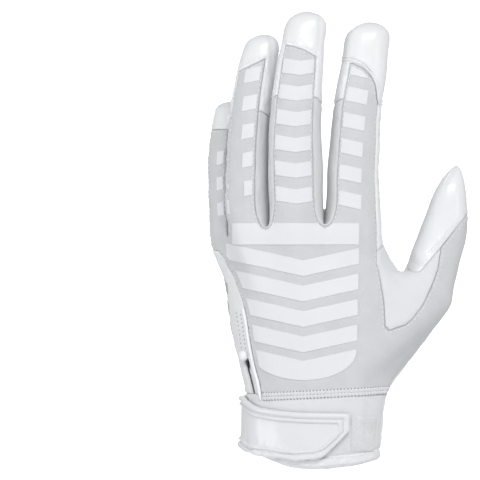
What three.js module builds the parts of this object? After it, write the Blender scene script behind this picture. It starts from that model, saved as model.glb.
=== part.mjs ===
// A left-hand football receiver's glove, filled out as if a hand were in it, fingers up.
// Millimetres. The wrist's flat lies along X with the thumb on +X, the palm faces +Y, and the
// origin is the middle of the wrist opening.
import * as THREE from 'three';

// Cloth and film thicknesses, and the gap kept between neighbouring pieces
const GAP = 0.3;
const WEB_INSET = 0.45; // the fourchettes stay further back, because their ends lie in tight corners
const PALM_WALL = 1.5;
const KNIT_WALL = 1.3;
const CUFF_WALL = 1.6;
const FOURCHETTE_WALL = 1.0;
const HEM_WALL = 2.4;
const HEM_LIFT = 0.4; // how far the folded hem stands proud of the cuff

// The panel lines are laid out on a plane turned this far towards the thumb
const LAYOUT_TURN = THREE.MathUtils.degToRad(14);
const TURN_COS = Math.cos(LAYOUT_TURN);
const TURN_SIN = Math.sin(LAYOUT_TURN);

// Finger sections, from the web to the tip. The last row of each is the tip itself.
// roll turns the finger's back towards the little-finger side, lean tips a section up at the palm.
const FINGERS = [
  {
    name: 'pinky', roll: 31, rows: [
      { z: 108, x: -42.7, y: 11.6, wide: 17.6, deep: 17.2, lean: 22 },
      { z: 116, x: -44.0, y: 12.6, wide: 16.6, deep: 16.8, lean: 18 },
      { z: 128, x: -44.8, y: 13.6, wide: 16.4, deep: 16.6, lean: 8 },
      { z: 140, x: -45.2, y: 14.6, wide: 17.0, deep: 16.8, lean: 0 },
      { z: 152, x: -45.0, y: 16.2, wide: 16.6, deep: 16.0, lean: -4 },
      { z: 161, x: -44.8, y: 17.6, wide: 15.2, deep: 14.6, lean: -6 },
      { z: 167.5, x: -44.7, y: 18.8, wide: 12.6, deep: 11.6, lean: -6 },
      { z: 171.3, x: -44.6, y: 19.8, wide: 0, deep: 0, lean: 0 },
    ],
  },
  {
    name: 'ring', roll: 10, rows: [
      { z: 114, x: -29.8, y: -0.4, wide: 22.0, deep: 22.5, lean: 24 },
      { z: 123, x: -30.9, y: -0.2, wide: 20.0, deep: 20.4, lean: 19 },
      { z: 137, x: -31.2, y: 0.2, wide: 19.6, deep: 19.6, lean: 9 },
      { z: 152, x: -31.0, y: 1.3, wide: 19.4, deep: 19.0, lean: 2 },
      { z: 167, x: -30.1, y: 3.0, wide: 18.8, deep: 18.4, lean: -2 },
      { z: 181, x: -28.6, y: 4.9, wide: 18.0, deep: 17.4, lean: -4 },
      { z: 191, x: -27.2, y: 6.7, wide: 16.8, deep: 16.0, lean: -6 },
      { z: 198.5, x: -25.9, y: 8.2, wide: 14.6, deep: 13.0, lean: -6 },
      { z: 202.6, x: -24.8, y: 9.3, wide: 0, deep: 0, lean: 0 },
    ],
  },
  {
    name: 'middle', roll: -8, rows: [
      { z: 117, x: -6.8, y: -1.6, wide: 26.0, deep: 25.0, lean: 24 },
      { z: 126, x: -7.2, y: -1.6, wide: 25.4, deep: 23.0, lean: 19 },
      { z: 140, x: -7.6, y: -1.3, wide: 25.4, deep: 22.0, lean: 9 },
      { z: 156, x: -7.8, y: -0.9, wide: 24.6, deep: 21.4, lean: 2 },
      { z: 173, x: -7.1, y: 0.3, wide: 23.4, deep: 20.6, lean: -2 },
      { z: 188, x: -6.0, y: 2.0, wide: 21.8, deep: 19.4, lean: -4 },
      { z: 199.5, x: -4.9, y: 3.9, wide: 20.2, deep: 17.6, lean: -6 },
      { z: 208.4, x: -3.9, y: 5.3, wide: 17.4, deep: 14.4, lean: -6 },
      { z: 213, x: -3.8, y: 6.3, wide: 0, deep: 0, lean: 0 },
    ],
  },
  {
    name: 'index', roll: -22, rows: [
      { z: 116, x: 18.0, y: 6.4, wide: 27.0, deep: 25.0, lean: 24 },
      { z: 125, x: 18.2, y: 6.7, wide: 25.2, deep: 22.6, lean: 19 },
      { z: 138, x: 18.2, y: 7.2, wide: 24.2, deep: 21.4, lean: 9 },
      { z: 153, x: 18.9, y: 7.8, wide: 23.4, deep: 20.6, lean: 2 },
      { z: 168, x: 19.9, y: 9.1, wide: 22.8, deep: 20.0, lean: -2 },
      { z: 182, x: 21.6, y: 11.0, wide: 22.2, deep: 19.2, lean: -4 },
      { z: 193, x: 22.8, y: 12.9, wide: 21.4, deep: 18.0, lean: -6 },
      { z: 203, x: 23.8, y: 14.4, wide: 19.2, deep: 15.0, lean: -6 },
      { z: 208, x: 24.2, y: 15.3, wide: 0, deep: 0, lean: 0 },
    ],
  },
];
const SIDE_CORNER = 0.75; // how far out a section's corners lie, as a share of its half sizes
const WEB_DROP = 3.5; // how far the cloth between two fingers hangs below its corners
const PALM_ROWS = { finger: 1, thumb: 2 }; // sections that the palm's cloth reaches up them

// Hand sections below the fingers. cup runs from the flat wrist to the arch of the knuckles.
// left and right are the little-finger and thumb edges on the layout plane.
const HAND = [
  { z: 0, cup: 0, left: -31.4, right: 31.2 },
  { z: 4.8, cup: 0, left: -31.4, right: 31.5 },
  { z: 19, cup: 0, left: -31.1, right: 32.6 },
  { z: 34, cup: 0.03, left: -31.0, right: 34.6 },
  { z: 48, cup: 0.18, left: -33.8 },
  { z: 68, cup: 0.42, left: -37.8 },
  { z: 89, cup: 0.74, left: -40.8 },
  { z: 102, cup: 0.93, left: -44.8, right: 33.4 },
];
const WRIST = { middle: 0.8, halfWide: 32.2, halfDeep: 21 };
// Where the 20 lines of the hand cross a section: the back, the thumb edge, the palm, the little edge
const LINE_ANGLES = [
  -143, -128, -115, -102.5, -90, -77.5, -65, -52, -37, 0,
  37, 52, 65, 77.5, 90, 102.5, 115, 128, 143, 180,
];
const LINES = LINE_ANGLES.length;
const TUBE_LINES = 8; // lines along a finger or the thumb
const THUMB_EDGE = 9;
const LITTLE_EDGE = 19;
const BACK_MIDDLE = 4;
const KNUCKLE_FADE = 3; // how fast the fingers' ridges fade out towards the wrist
const SMOOTH_STEPS = [0.5, -0.53]; // a step that smooths a ring and one that gives its size back
const SMOOTH_ROUNDS = 8;
// How far the wrist edge rises, by how far it is across the wrist: -1 the little edge, 1 the thumb's
const HEM_RISE = {
  back: [
    [-1, 8], [-0.8, 7], [-0.53, 4.4], [-0.35, 2], [-0.1, 0.2], [0.2, 0], [0.75, 1.6], [1, 4],
  ],
  palm: [[-1, 8], [-0.5, 1], [0, -1.5], [0.5, 0], [1, 4]],
};
const HEM_FADE = 30; // height over which the hem's rise dies out

const WRIST_ROW = 3; // the hand section at the wrist seam
const THUMB_ROOT_ROW = 4; // the first of the three hand sections that the thumb's root spans

// The ring of cloth that the thumb grows from, and the thumb's own sections. row counts hand
// sections from the root's first, and line is the hand line that the point belongs to.
const THUMB_ROOT = [
  { row: 2, line: 9, x: 37.2, y: 15.5, z: 92 }, // the middle of the web
  { row: 2, line: 8, x: 33.7, y: -2, z: 90 },
  { row: 1, line: 8, x: 36.5, y: -5.5, z: 68 }, // the back
  { row: 0, line: 8, x: 34.5, y: -8, z: 49 },
  { row: 0, line: 9, x: 43.2, y: 14, z: 49 }, // the outer edge
  { row: 0, line: 10, x: 31, y: 24, z: 47 },
  { row: 1, line: 10, x: 33, y: 33, z: 66 }, // the palm
  { row: 2, line: 10, x: 33, y: 28, z: 88 },
];
const THUMB = [
  { x: 48.9, y: 18.5, z: 80.0, thick: 28.6, wide: 28.0, climb: 56 },
  { x: 51.9, y: 22.1, z: 88.2, thick: 26.6, wide: 25.4, climb: 42 },
  { x: 53.8, y: 24.7, z: 98.0, thick: 23.2, wide: 22.0, climb: 20 },
  { x: 56.8, y: 27.1, z: 109.5, thick: 21.6, wide: 20.6, climb: 9 },
  { x: 59.0, y: 28.6, z: 121.5, thick: 18.0, wide: 19.8, climb: 7 },
  { x: 60.6, y: 29.5, z: 131.0, thick: 13.0, wide: 16.4, climb: 7 },
  { x: 61.9, y: 30.2, z: 137.0, thick: 7.4, wide: 10.4, climb: 7 },
  { x: 62.5, y: 30.5, z: 140.9, thick: 0, wide: 0, climb: 0 },
];

// Soft mounds and hollows of the palm: below the thumb, below the little finger, the middle
const MOUNDS = [
  { x: 25, z: 62, radius: 36, height: 12 },
  { x: -26, z: 54, radius: 32, height: 4 },
  { x: -3, z: 80, radius: 24, height: -2.5 },
];

// How the surface is made and cut
const FIT_ROUNDS = 10;
const SKIN_LEVELS = 1; // subdivisions of the cage
const SEAM_SNAP = 0.45; // a point this near to a seam is taken to lie on it
const EDGE_SNAP = 0.3; // the same at the edges of small regions
const NO_AREA = 1e-6;
const NEVER = 1e6; // cost of a split across the line, or of one with no area
const OFF_LINE = 1e3; // cost of a split that doesn't follow the line
const SHARPEST = 0.8; // keeps sharp corners of an edge from being drawn in too far

const layoutX = (p) => p.x * TURN_COS + p.y * TURN_SIN;

// A mesh here is { points, faces, tags }: quads or triangles that index points, one tag per face.

function fingerSection(finger, row) {
  const roll = THREE.MathUtils.degToRad(finger.roll);
  const across = new THREE.Vector3(Math.cos(roll), -Math.sin(roll), 0);
  const back = new THREE.Vector3(-Math.sin(roll), -Math.cos(roll), 0);
  const tip = Math.tan(THREE.MathUtils.degToRad(row.lean));
  const place = (a, b) => new THREE.Vector3(row.x, row.y, row.z)
    .addScaledVector(across, a * row.wide / 2)
    .addScaledVector(back, b * row.deep / 2)
    .add(new THREE.Vector3(0, 0, -b * tip * row.deep / 2));
  const c = SIDE_CORNER;
  return [[-c, c], [0, 1], [c, c], [1, 0], [c, -c], [0, -1], [-c, -c], [-1, 0]]
    .map(([a, b]) => place(a, b));
}

function thumbSection(row, axis) {
  const climb = THREE.MathUtils.degToRad(row.climb);
  const web = new THREE.Vector3(
    -Math.cos(climb) * TURN_COS, -Math.cos(climb) * TURN_SIN, Math.sin(climb));
  const back = new THREE.Vector3().crossVectors(web, axis).normalize();
  if (back.y > 0) back.negate();
  const c = SIDE_CORNER;
  return [[1, 0], [c, c], [0, 1], [-c, c], [-1, 0], [-c, -c], [0, -1], [c, -c]]
    .map(([a, b]) => new THREE.Vector3(row.x, row.y, row.z)
      .addScaledVector(web, a * row.thick / 2)
      .addScaledVector(back, b * row.wide / 2));
}

// A ring with its short waves taken out and its size kept.
function smoothRing(ring) {
  let points = ring;
  for (let i = 0; i < SMOOTH_ROUNDS; i++) {
    for (const amount of SMOOTH_STEPS) {
      points = points.map((p, k) => points[(k + 1) % LINES].clone()
        .add(points[(k + LINES - 1) % LINES])
        .multiplyScalar(0.5)
        .sub(p)
        .multiplyScalar(amount)
        .add(p));
    }
  }
  return points;
}

function hemRise(angle) {
  return lineHeight(Math.sin(angle) > 0 ? HEM_RISE.palm : HEM_RISE.back, Math.cos(angle));
}

// The coarse quad cage: each point is where the smooth surface passes.
function buildCage() {
  const points = [];
  const faces = [];
  const tags = [];
  const add = (p) => points.push(p) - 1;
  const face = (tag, ...corners) => {
    faces.push(corners);
    tags.push(tag);
  };

  // The knuckle ring, shared by the fingers
  const base = FINGERS.map((f) => fingerSection(f, f.rows[0]));
  const top = [];
  for (let f = 0; f < FINGERS.length; f++) {
    const [b0, b1, b2, r, p2, p1, p0, u] = base[f];
    const next = base[f + 1];
    const before = base[f - 1];
    if (!before) {
      top[0] = b0;
      top[18] = p0;
      top[LITTLE_EDGE] = u;
    }
    top[2 * f + 1] = b1;
    top[17 - 2 * f] = p1;
    top[2 * f + 2] = next ? b2.clone().add(next[0]).multiplyScalar(0.5) : b2;
    top[16 - 2 * f] = next ? p2.clone().add(next[6]).multiplyScalar(0.5) : p2;
    if (!next) top[THUMB_EDGE] = r;
  }
  const webs = [0, 1, 2].map((f) => {
    const p = base[f][3].clone().add(base[f + 1][7]).multiplyScalar(0.5);
    p.z -= WEB_DROP;
    return p;
  });
  const plainTop = smoothRing(top);
  const meanTop = top.reduce((sum, p) => sum + p.z, 0) / LINES;

  // The rings of the hand
  const rings = HAND.map((row) => LINE_ANGLES.map((degrees, line) => {
    const angle = THREE.MathUtils.degToRad(degrees);
    const p = new THREE.Vector3(
      WRIST.middle + WRIST.halfWide * Math.cos(angle), WRIST.halfDeep * Math.sin(angle), row.z);
    const lobes = row.cup ** KNUCKLE_FADE;
    const arch = plainTop[line].clone().lerp(top[line], lobes);
    p.x += (arch.x - p.x) * row.cup;
    p.y += (arch.y - p.y) * row.cup;
    p.z += (arch.z - meanTop) * row.cup ** 2;
    p.z += hemRise(angle) * Math.max(0, 1 - row.z / HEM_FADE);
    if (line > THUMB_EDGE && line < LITTLE_EDGE) {
      for (const { x, z, radius, height } of MOUNDS) {
        const t = Math.min(1, Math.hypot(p.x - x, row.z - z) / radius);
        p.y += height * (1 - t * t) ** 2;
      }
    }
    return p;
  }));
  rings.forEach((ring, r) => {
    const { left, right } = HAND[r];
    const middle = ring[BACK_MIDDLE].x;
    const stretch = (from, to, isSide) => {
      const reach = (to - middle) / (from - middle);
      for (const p of ring) if (isSide(p)) p.x = middle + (p.x - middle) * reach;
    };
    const across = ring.map(layoutX);
    stretch(Math.min(...across), left, (p) => p.x < middle);
    if (right) stretch(Math.max(...across), right, (p) => p.x > middle);
  });
  for (const { row, line, x, y, z } of THUMB_ROOT) {
    rings[THUMB_ROOT_ROW + row][line].set(x, y, z);
  }
  rings.push(top);

  const ids = rings.map((ring, r) => ring.map((p, line) => {
    const swallowed = r === THUMB_ROOT_ROW + 1 && line === THUMB_EDGE;
    return swallowed ? -1 : add(p);
  }));
  const handTag = (r, line) => {
    if (r === 0) return 'hem';
    if (line >= THUMB_EDGE && line < LITTLE_EDGE - 1) return 'palm';
    if (r < WRIST_ROW) return 'cuff';
    if (line === LITTLE_EDGE) return r < HAND.length - 1 ? 'side_back' : 'side';
    if (line === LITTLE_EDGE - 1) return 'side';
    if (line < THUMB_EDGE - 1 || r < THUMB_ROOT_ROW) return 'back';
    return r === THUMB_ROOT_ROW + 2 ? 'gusset' : 'palm';
  };
  for (let r = 0; r < rings.length - 1; r++) {
    for (let line = 0; line < LINES; line++) {
      const inRoot = (r === THUMB_ROOT_ROW || r === THUMB_ROOT_ROW + 1) &&
        (line === THUMB_EDGE - 1 || line === THUMB_EDGE);
      if (inRoot) continue;
      const next = (line + 1) % LINES;
      face(handTag(r, line), ids[r][line], ids[r][next], ids[r + 1][next], ids[r + 1][line]);
    }
  }

  // Tubes closed by quads round the tip, each over two of the last ring's sides. The palm's own
  // cloth reaches up their first rows.
  const tube = (first, sections, tipPoint, tagOf, capTag, palmRows) => {
    let ring = first;
    sections.forEach((section, j) => {
      const above = section.map(add);
      for (let i = 0; i < TUBE_LINES; i++) {
        const k = (i + 1) % TUBE_LINES;
        const tag = j < palmRows && tagOf[i] === capTag ? 'palm' : tagOf[i];
        face(tag, ring[i], ring[k], above[k], above[i]);
      }
      ring = above;
    });
    const tip = add(tipPoint);
    for (let i = 1; i < TUBE_LINES; i += 2) {
      face(capTag, ring[i], ring[(i + 1) % TUBE_LINES], ring[(i + 2) % TUBE_LINES], tip);
    }
  };
  const webIds = webs.map(add);
  const topIds = ids[ids.length - 1];
  FINGERS.forEach((finger, f) => {
    const first = [
      topIds[2 * f], topIds[2 * f + 1], topIds[2 * f + 2],
      f < 3 ? webIds[f] : topIds[THUMB_EDGE],
      topIds[16 - 2 * f], topIds[17 - 2 * f], topIds[18 - 2 * f],
      f > 0 ? webIds[f - 1] : topIds[LITTLE_EDGE],
    ];
    const radial = f < 3 ? `web${f}` : 'palm';
    const ulnar = f > 0 ? `web${f - 1}` : 'side';
    const around = ['back', 'back', radial, radial, 'palm', 'palm', ulnar, ulnar];
    const sections = finger.rows.slice(1, -1).map((row) => fingerSection(finger, row));
    const end = finger.rows[finger.rows.length - 1];
    tube(first, sections, new THREE.Vector3(end.x, end.y, end.z),
      around.map((part) => `${finger.name}.${part}`), `${finger.name}.palm`, PALM_ROWS.finger);
  });

  const root = THUMB_ROOT.map(({ row, line }) => ids[THUMB_ROOT_ROW + row][line]);
  const spots = THUMB.map(({ x, y, z }) => new THREE.Vector3(x, y, z));
  const sections = THUMB.slice(0, -1).map((row, j) => {
    const below = spots[Math.max(0, j - 1)];
    const axis = new THREE.Vector3().subVectors(spots[j + 1], below).normalize();
    return thumbSection(row, axis);
  });
  const aroundThumb = ['gusset', 'gusset', 'back', 'back', 'palm', 'palm', 'palm', 'palm'];
  tube(root, sections, spots[spots.length - 1],
    aroundThumb.map((part) => `thumb.${part}`), 'thumb.palm', PALM_ROWS.thumb);
  return { points, faces, tags };
}

// Catmull-Clark neighbourhoods: which edges and faces meet at each point.
function neighbourhoods({ points, faces }) {
  const edges = new Map();
  const around = points.map(() => ({ edges: [], faces: [] }));
  const count = points.length;
  faces.forEach((corners, f) => {
    corners.forEach((a, i) => {
      const b = corners[(i + 1) % 4];
      const key = Math.min(a, b) * count + Math.max(a, b);
      if (!edges.has(key)) {
        const edge = { a, b, faces: [], index: edges.size };
        edges.set(key, edge);
        around[a].edges.push(edge);
        around[b].edges.push(edge);
      }
      edges.get(key).faces.push(f);
      around[a].faces.push({ f, opposite: corners[(i + 2) % 4] });
    });
  });
  return { edges, around };
}

const otherEnd = (edge, v) => (edge.a === v ? edge.b : edge.a);

// Where the smooth surface passes for each point of a cage.
function limitPoints(mesh, { around } = neighbourhoods(mesh)) {
  return mesh.points.map((p, v) => {
    const rim = around[v].edges.filter((edge) => edge.faces.length === 1);
    if (rim.length) {
      const sum = p.clone().multiplyScalar(4);
      for (const edge of rim) sum.add(mesh.points[otherEnd(edge, v)]);
      return sum.divideScalar(6);
    }
    const n = around[v].edges.length;
    const sum = p.clone().multiplyScalar(n * n);
    for (const edge of around[v].edges) sum.addScaledVector(mesh.points[otherEnd(edge, v)], 4);
    for (const { opposite } of around[v].faces) sum.add(mesh.points[opposite]);
    return sum.divideScalar(n * (n + 5));
  });
}

// Moves the cage's points until the smooth surface passes through where they were.
function fitThroughPoints(mesh) {
  const topology = neighbourhoods(mesh);
  let fitted = { ...mesh, points: mesh.points.map((p) => p.clone()) };
  for (let i = 0; i < FIT_ROUNDS; i++) {
    const limit = limitPoints(fitted, topology);
    const points = fitted.points.map((p, v) => p.clone().add(mesh.points[v]).sub(limit[v]));
    fitted = { ...fitted, points };
  }
  return fitted;
}

function subdivide(mesh) {
  const { edges, around } = neighbourhoods(mesh);
  const { points, faces } = mesh;
  const mean = (list) => list
    .reduce((sum, p) => sum.add(p), new THREE.Vector3())
    .divideScalar(list.length);
  const facePoints = faces.map((corners) => mean(corners.map((v) => points[v])));
  const edgePoints = [...edges.values()].map((edge) => {
    const ends = [points[edge.a], points[edge.b]];
    return mean(edge.faces.length === 1 ? ends : [...ends, ...edge.faces.map((f) => facePoints[f])]);
  });
  const moved = points.map((p, v) => {
    const rim = around[v].edges.filter((edge) => edge.faces.length === 1);
    if (rim.length) {
      const sum = p.clone().multiplyScalar(6);
      for (const edge of rim) sum.add(points[otherEnd(edge, v)]);
      return sum.divideScalar(8);
    }
    const n = around[v].edges.length;
    const middles = around[v].edges.map((edge) => mean([points[edge.a], points[edge.b]]));
    return mean(around[v].faces.map(({ f }) => facePoints[f]))
      .addScaledVector(mean(middles), 2)
      .addScaledVector(p, n - 3)
      .divideScalar(n);
  });
  const finer = { points: [...moved, ...facePoints, ...edgePoints], faces: [], tags: [] };
  const firstEdge = points.length + faces.length;
  const middleOf = (a, b) =>
    firstEdge + edges.get(Math.min(a, b) * points.length + Math.max(a, b)).index;
  faces.forEach((corners, f) => {
    corners.forEach((v, i) => {
      const next = corners[(i + 1) % 4];
      const before = corners[(i + 3) % 4];
      finer.faces.push([v, middleOf(v, next), points.length + f, middleOf(before, v)]);
      finer.tags.push(mesh.tags[f]);
    });
  });
  return finer;
}

// The glove's skin: limit points of the subdivided cage, as triangles with a normal at each point.
function buildSkin(levels) {
  let mesh = fitThroughPoints(buildCage());
  for (let i = 0; i < levels; i++) mesh = subdivide(mesh);
  const points = limitPoints(mesh);
  const triangles = [];
  const tags = [];
  mesh.faces.forEach(([a, b, c, d], f) => {
    const short = points[a].distanceTo(points[c]) <= points[b].distanceTo(points[d]);
    triangles.push(...(short ? [[a, b, c], [a, c, d]] : [[b, c, d], [b, d, a]]));
    tags.push(mesh.tags[f], mesh.tags[f]);
  });
  const skin = { points, triangles, tags };
  skin.normals = pointNormals(skin);
  return skin;
}

function pointNormals({ points, triangles }) {
  const normals = points.map(() => new THREE.Vector3());
  const ab = new THREE.Vector3();
  const ac = new THREE.Vector3();
  for (const [a, b, c] of triangles) {
    ab.subVectors(points[b], points[a]);
    ac.subVectors(points[c], points[a]);
    ab.cross(ac);
    for (const v of [a, b, c]) normals[v].add(ab);
  }
  return normals.map((n) => n.normalize());
}

// Cuts the skin's matching faces along the line where side(p) is 0. Faces on its positive side
// take the new tag. Points nearer to the line than snap count as on it.
function cut(skin, match, side, newTag, snap = SEAM_SNAP) {
  const value = skin.points.map((p) => {
    const g = side(p);
    return Math.abs(g) < snap ? 0 : g;
  });
  const middle = new Map();
  const keyOf = (a, b) => (a < b ? `${a} ${b}` : `${b} ${a}`);
  const matches = skin.triangles.map((corners, t) => match(skin.tags[t], centreOf(skin, corners)));
  skin.triangles.forEach((corners, t) => {
    if (!matches[t]) return;
    corners.forEach((a, i) => {
      const b = corners[(i + 1) % 3];
      if (value[a] * value[b] >= 0 || middle.has(keyOf(a, b))) return;
      const share = value[a] / (value[a] - value[b]);
      middle.set(keyOf(a, b), skin.points.length);
      skin.points.push(skin.points[a].clone().lerp(skin.points[b], share));
      skin.normals.push(skin.normals[a].clone().lerp(skin.normals[b], share).normalize());
      value.push(0);
    });
  });
  const triangles = [];
  const tags = [];
  skin.triangles.forEach((corners, t) => {
    const outline = [];
    corners.forEach((a, i) => {
      const m = middle.get(keyOf(a, corners[(i + 1) % 3]));
      outline.push(a);
      if (m !== undefined) outline.push(m);
    });
    for (const part of fan(outline, value, skin.points)) {
      const sum = part.reduce((total, v) => total + value[v], 0);
      triangles.push(part);
      tags.push(matches[t] && sum > 0 ? newTag : skin.tags[t]);
    }
  });
  skin.triangles = triangles;
  skin.tags = tags;
}

const centreOf = (skin, corners) => corners
  .reduce((sum, v) => sum.add(skin.points[v]), new THREE.Vector3())
  .divideScalar(3);

// Splits a triangle whose sides carry added points, never across the line that added them.
function fan(outline, value, points) {
  if (outline.length === 3) return [outline];
  const count = outline.length;
  let best = null;
  for (let i = 0; i < count; i++) {
    const before = outline[(i + count - 1) % count];
    const at = outline[i];
    const after = outline[(i + 1) % count];
    const crosses = value[before] * value[after] < 0;
    const flat = areaOf(points[before], points[at], points[after]) < NO_AREA;
    const bothOn = value[before] === 0 && value[after] === 0;
    const length = points[before].distanceTo(points[after]);
    const cost = (crosses || flat ? NEVER : 0) + (bothOn ? 0 : OFF_LINE) + length;
    if (!best || cost < best.cost) best = { cost, i, ear: [before, at, after] };
  }
  const rest = outline.filter((_, i) => i !== best.i);
  return [best.ear, ...fan(rest, value, points)];
}

const areaOf = (a, b, c) => new THREE.Vector3()
  .subVectors(b, a)
  .cross(new THREE.Vector3().subVectors(c, a))
  .length() / 2;

// Height of a line given as [across, height] pairs, straight between them and level past the ends.
function lineHeight(line, x) {
  if (x <= line[0][0]) return line[0][1];
  for (let i = 1; i < line.length; i++) {
    const [x1, h1] = line[i];
    const [x0, h0] = line[i - 1];
    if (x <= x1) return h0 + (h1 - h0) * (x - x0) / (x1 - x0);
  }
  return line[line.length - 1][1];
}

// Signed distance to an outline on the layout plane, positive inside.
function insideOutline(outline, x, z) {
  let nearest = Infinity;
  let inside = false;
  outline.forEach(([x0, z0], i) => {
    const [x1, z1] = outline[(i + 1) % outline.length];
    const along = ((x - x0) * (x1 - x0) + (z - z0) * (z1 - z0)) / ((x1 - x0) ** 2 + (z1 - z0) ** 2);
    const t = THREE.MathUtils.clamp(along, 0, 1);
    nearest = Math.min(nearest, Math.hypot(x - x0 - t * (x1 - x0), z - z0 - t * (z1 - z0)));
    if ((z0 > z) !== (z1 > z) && x < x0 + (x1 - x0) * (z - z0) / (z1 - z0)) inside = !inside;
  });
  return inside ? nearest : -nearest;
}

// Turns the skin's matching faces into one closed body between two offsets from the skin, its
// edges drawn in by half the gap.
function shellOf(skin, choose, outer, inner, inset = GAP / 2) {
  const chosen = skin.triangles.filter((_, t) => choose(skin.tags[t]));
  const halfEdges = new Set(chosen.flatMap(([a, b, c]) => [`${a} ${b}`, `${b} ${c}`, `${c} ${a}`]));
  const rim = [];
  for (const corners of chosen) {
    corners.forEach((a, i) => {
      const b = corners[(i + 1) % 3];
      if (!halfEdges.has(`${b} ${a}`)) rim.push([a, b]);
    });
  }
  const inward = new Map();
  for (const [a, b] of rim) {
    const along = new THREE.Vector3().subVectors(skin.points[b], skin.points[a]).normalize();
    for (const v of [a, b]) {
      const pull = new THREE.Vector3().crossVectors(skin.normals[v], along).normalize();
      inward.set(v, [...(inward.get(v) ?? []), pull]);
    }
  }
  const used = [...new Set(chosen.flat())];
  const place = new Map(used.map((v, i) => [v, i]));
  const base = used.map((v) => {
    const pulls = inward.get(v);
    if (!pulls) return skin.points[v].clone();
    const sum = pulls.reduce((total, p) => total.add(p), new THREE.Vector3());
    const reach = inset * pulls.length / Math.max(sum.lengthSq(), SHARPEST * pulls.length);
    return skin.points[v].clone().addScaledVector(sum, reach);
  });
  const at = (height) => base.map((p, i) => p.clone().addScaledVector(skin.normals[used[i]], height));
  const count = used.length;
  const points = [...at(outer), ...at(inner)];
  const index = [];
  for (const corners of chosen) {
    const [a, b, c] = corners.map((v) => place.get(v));
    index.push(a, b, c, count + c, count + b, count + a);
  }
  for (const [from, to] of rim) {
    const a = place.get(from);
    const b = place.get(to);
    index.push(b, a, count + a, b, count + a, count + b);
  }
  const geometry = new THREE.BufferGeometry();
  geometry.setAttribute(
    'position', new THREE.Float32BufferAttribute(points.flatMap((p) => [p.x, p.y, p.z]), 3));
  geometry.setIndex(index);
  geometry.computeVertexNormals();
  return geometry;
}

// The nearest point of the skin, and its normal, seen square to the layout plane.
function skinAt(skin, across, z) {
  const seen = new THREE.Vector2(across, z);
  const depthOf = (p) => p.y * TURN_COS - p.x * TURN_SIN;
  let best = null;
  for (const corners of skin.triangles) {
    const [a, b, c] = corners.map((v) => {
      const p = skin.points[v];
      return new THREE.Vector2(layoutX(p), p.z);
    });
    const area = b.clone().sub(a).cross(c.clone().sub(a));
    if (area < NO_AREA) continue;
    const wb = seen.clone().sub(a).cross(c.clone().sub(a)) / area;
    const wc = b.clone().sub(a).cross(seen.clone().sub(a)) / area;
    const weights = [1 - wb - wc, wb, wc];
    if (Math.min(...weights) < 0) continue;
    const blend = (list) => corners.reduce(
      (sum, v, i) => sum.addScaledVector(list[v], weights[i]), new THREE.Vector3());
    const point = blend(skin.points);
    if (!best || depthOf(point) < depthOf(best.point)) {
      best = { point, normal: blend(skin.normals).normalize() };
    }
  }
  return best;
}

// Seam lines on the layout plane
const CAP_LINES = {
  pinky: [[-60, 158], [-30, 158]],
  ring: [[-35, 184.8], [-28, 188.1], [-22, 190.7], [-16, 191.6]],
  middle: [[-16, 197.4], [-9.8, 196.6], [-3.7, 194.7], [1.4, 191.9], [7, 188]],
  index: [[14, 188.7], [19, 188.5], [24, 186.2], [28, 182], [30.2, 177], [31, 168]],
};
const WEB_TOPS = { pinky: 143, ring: 163, middle: 170, index: 168 };
const WEB_TOP_SLOPE = 0.4; // the fourchettes' ends fall this much per millimetre towards the palm
const THUMB_SEAM = [[38, 122], [42, 93], [50, 91], [60.2, 102.2], [76, 121.5]];
const GUSSET_OUTLINE = [
  [30.6, 112], [31.3, 91], [33.6, 77], [34.2, 63.2], [44.9, 66.6], [51.9, 75.5],
  [55.7, 83.8], [58.9, 92], [60.4, 103], [61, 130], [40, 130],
];

// Where the knit back meets the side panel: [height, across] on the layout plane
const SIDE_SEAM = [
  [29, -23.3], [38.6, -24.8], [46, -26.9], [58, -29.3], [70, -31],
  [78, -33], [88, -36.5], [97, -41.5], [101.5, -45.2], [102, -60],
];
// The wrist vent: a slot beside the side seam, from the wrist seam up to a stay
const VENT = { top: 50.5, halfWide: 1.1, line: [[34, -27.2], [42.7, -29.2], [50.5, -31.2]] };
const VENT_STAY = { across: -31.7, z: 51.9, halfWide: 2.4, halfHigh: 2.0, halfDeep: 1.2 };
const PIPING = { from: 30, to: 75, highest: 90, halfWide: 0.7, thick: 0.9 };

// The strap and the patch it closes on, laid out by degrees round the wrist from the middle of
// the back towards the little-finger side: [degrees, height]
const STRAP = {
  from: -40, to: 120, lift: 0.75, thick: 2.2, highest: 45, palmEnd: 17,
  top: [[-40, 25.4], [0, 25.8], [20, 26.5], [40, 27.8], [55, 30], [75, 33], [120, 33.2]],
  bottom: [
    [-40, 17.2], [-17, 4.9], [-10, 3.8], [5, 3.1], [20, 3.9], [40, 5], [55, 6], [75, 8.6], [120, 9.4],
  ],
};
const LOOP_PATCH = { from: -74, to: -42, bottom: 7.5, top: 24, thick: 0.8 };
const MM_PER_DEGREE = 0.47;

function degreesRound(p) {
  const angle = Math.atan2(p.y / WRIST.halfDeep, (p.x - WRIST.middle) / WRIST.halfWide);
  const turned = -90 - THREE.MathUtils.radToDeg(angle);
  return turned < -180 ? turned + 360 : turned;
}

// How far p is inside each edge of the strap and of the loop patch, in millimetres
const STRAP_EDGES = [
  (p) => (degreesRound(p) - STRAP.from) * MM_PER_DEGREE,
  (p) => (STRAP.to - degreesRound(p)) * MM_PER_DEGREE,
  (p) => lineHeight(STRAP.top, degreesRound(p)) - p.z,
  (p) => p.z - lineHeight(STRAP.bottom, degreesRound(p)),
];
const LOOP_PATCH_EDGES = [
  (p) => (degreesRound(p) - LOOP_PATCH.from) * MM_PER_DEGREE,
  (p) => (LOOP_PATCH.to - degreesRound(p)) * MM_PER_DEGREE,
  (p) => LOOP_PATCH.top - p.z,
  (p) => p.z - LOOP_PATCH.bottom,
];

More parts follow.
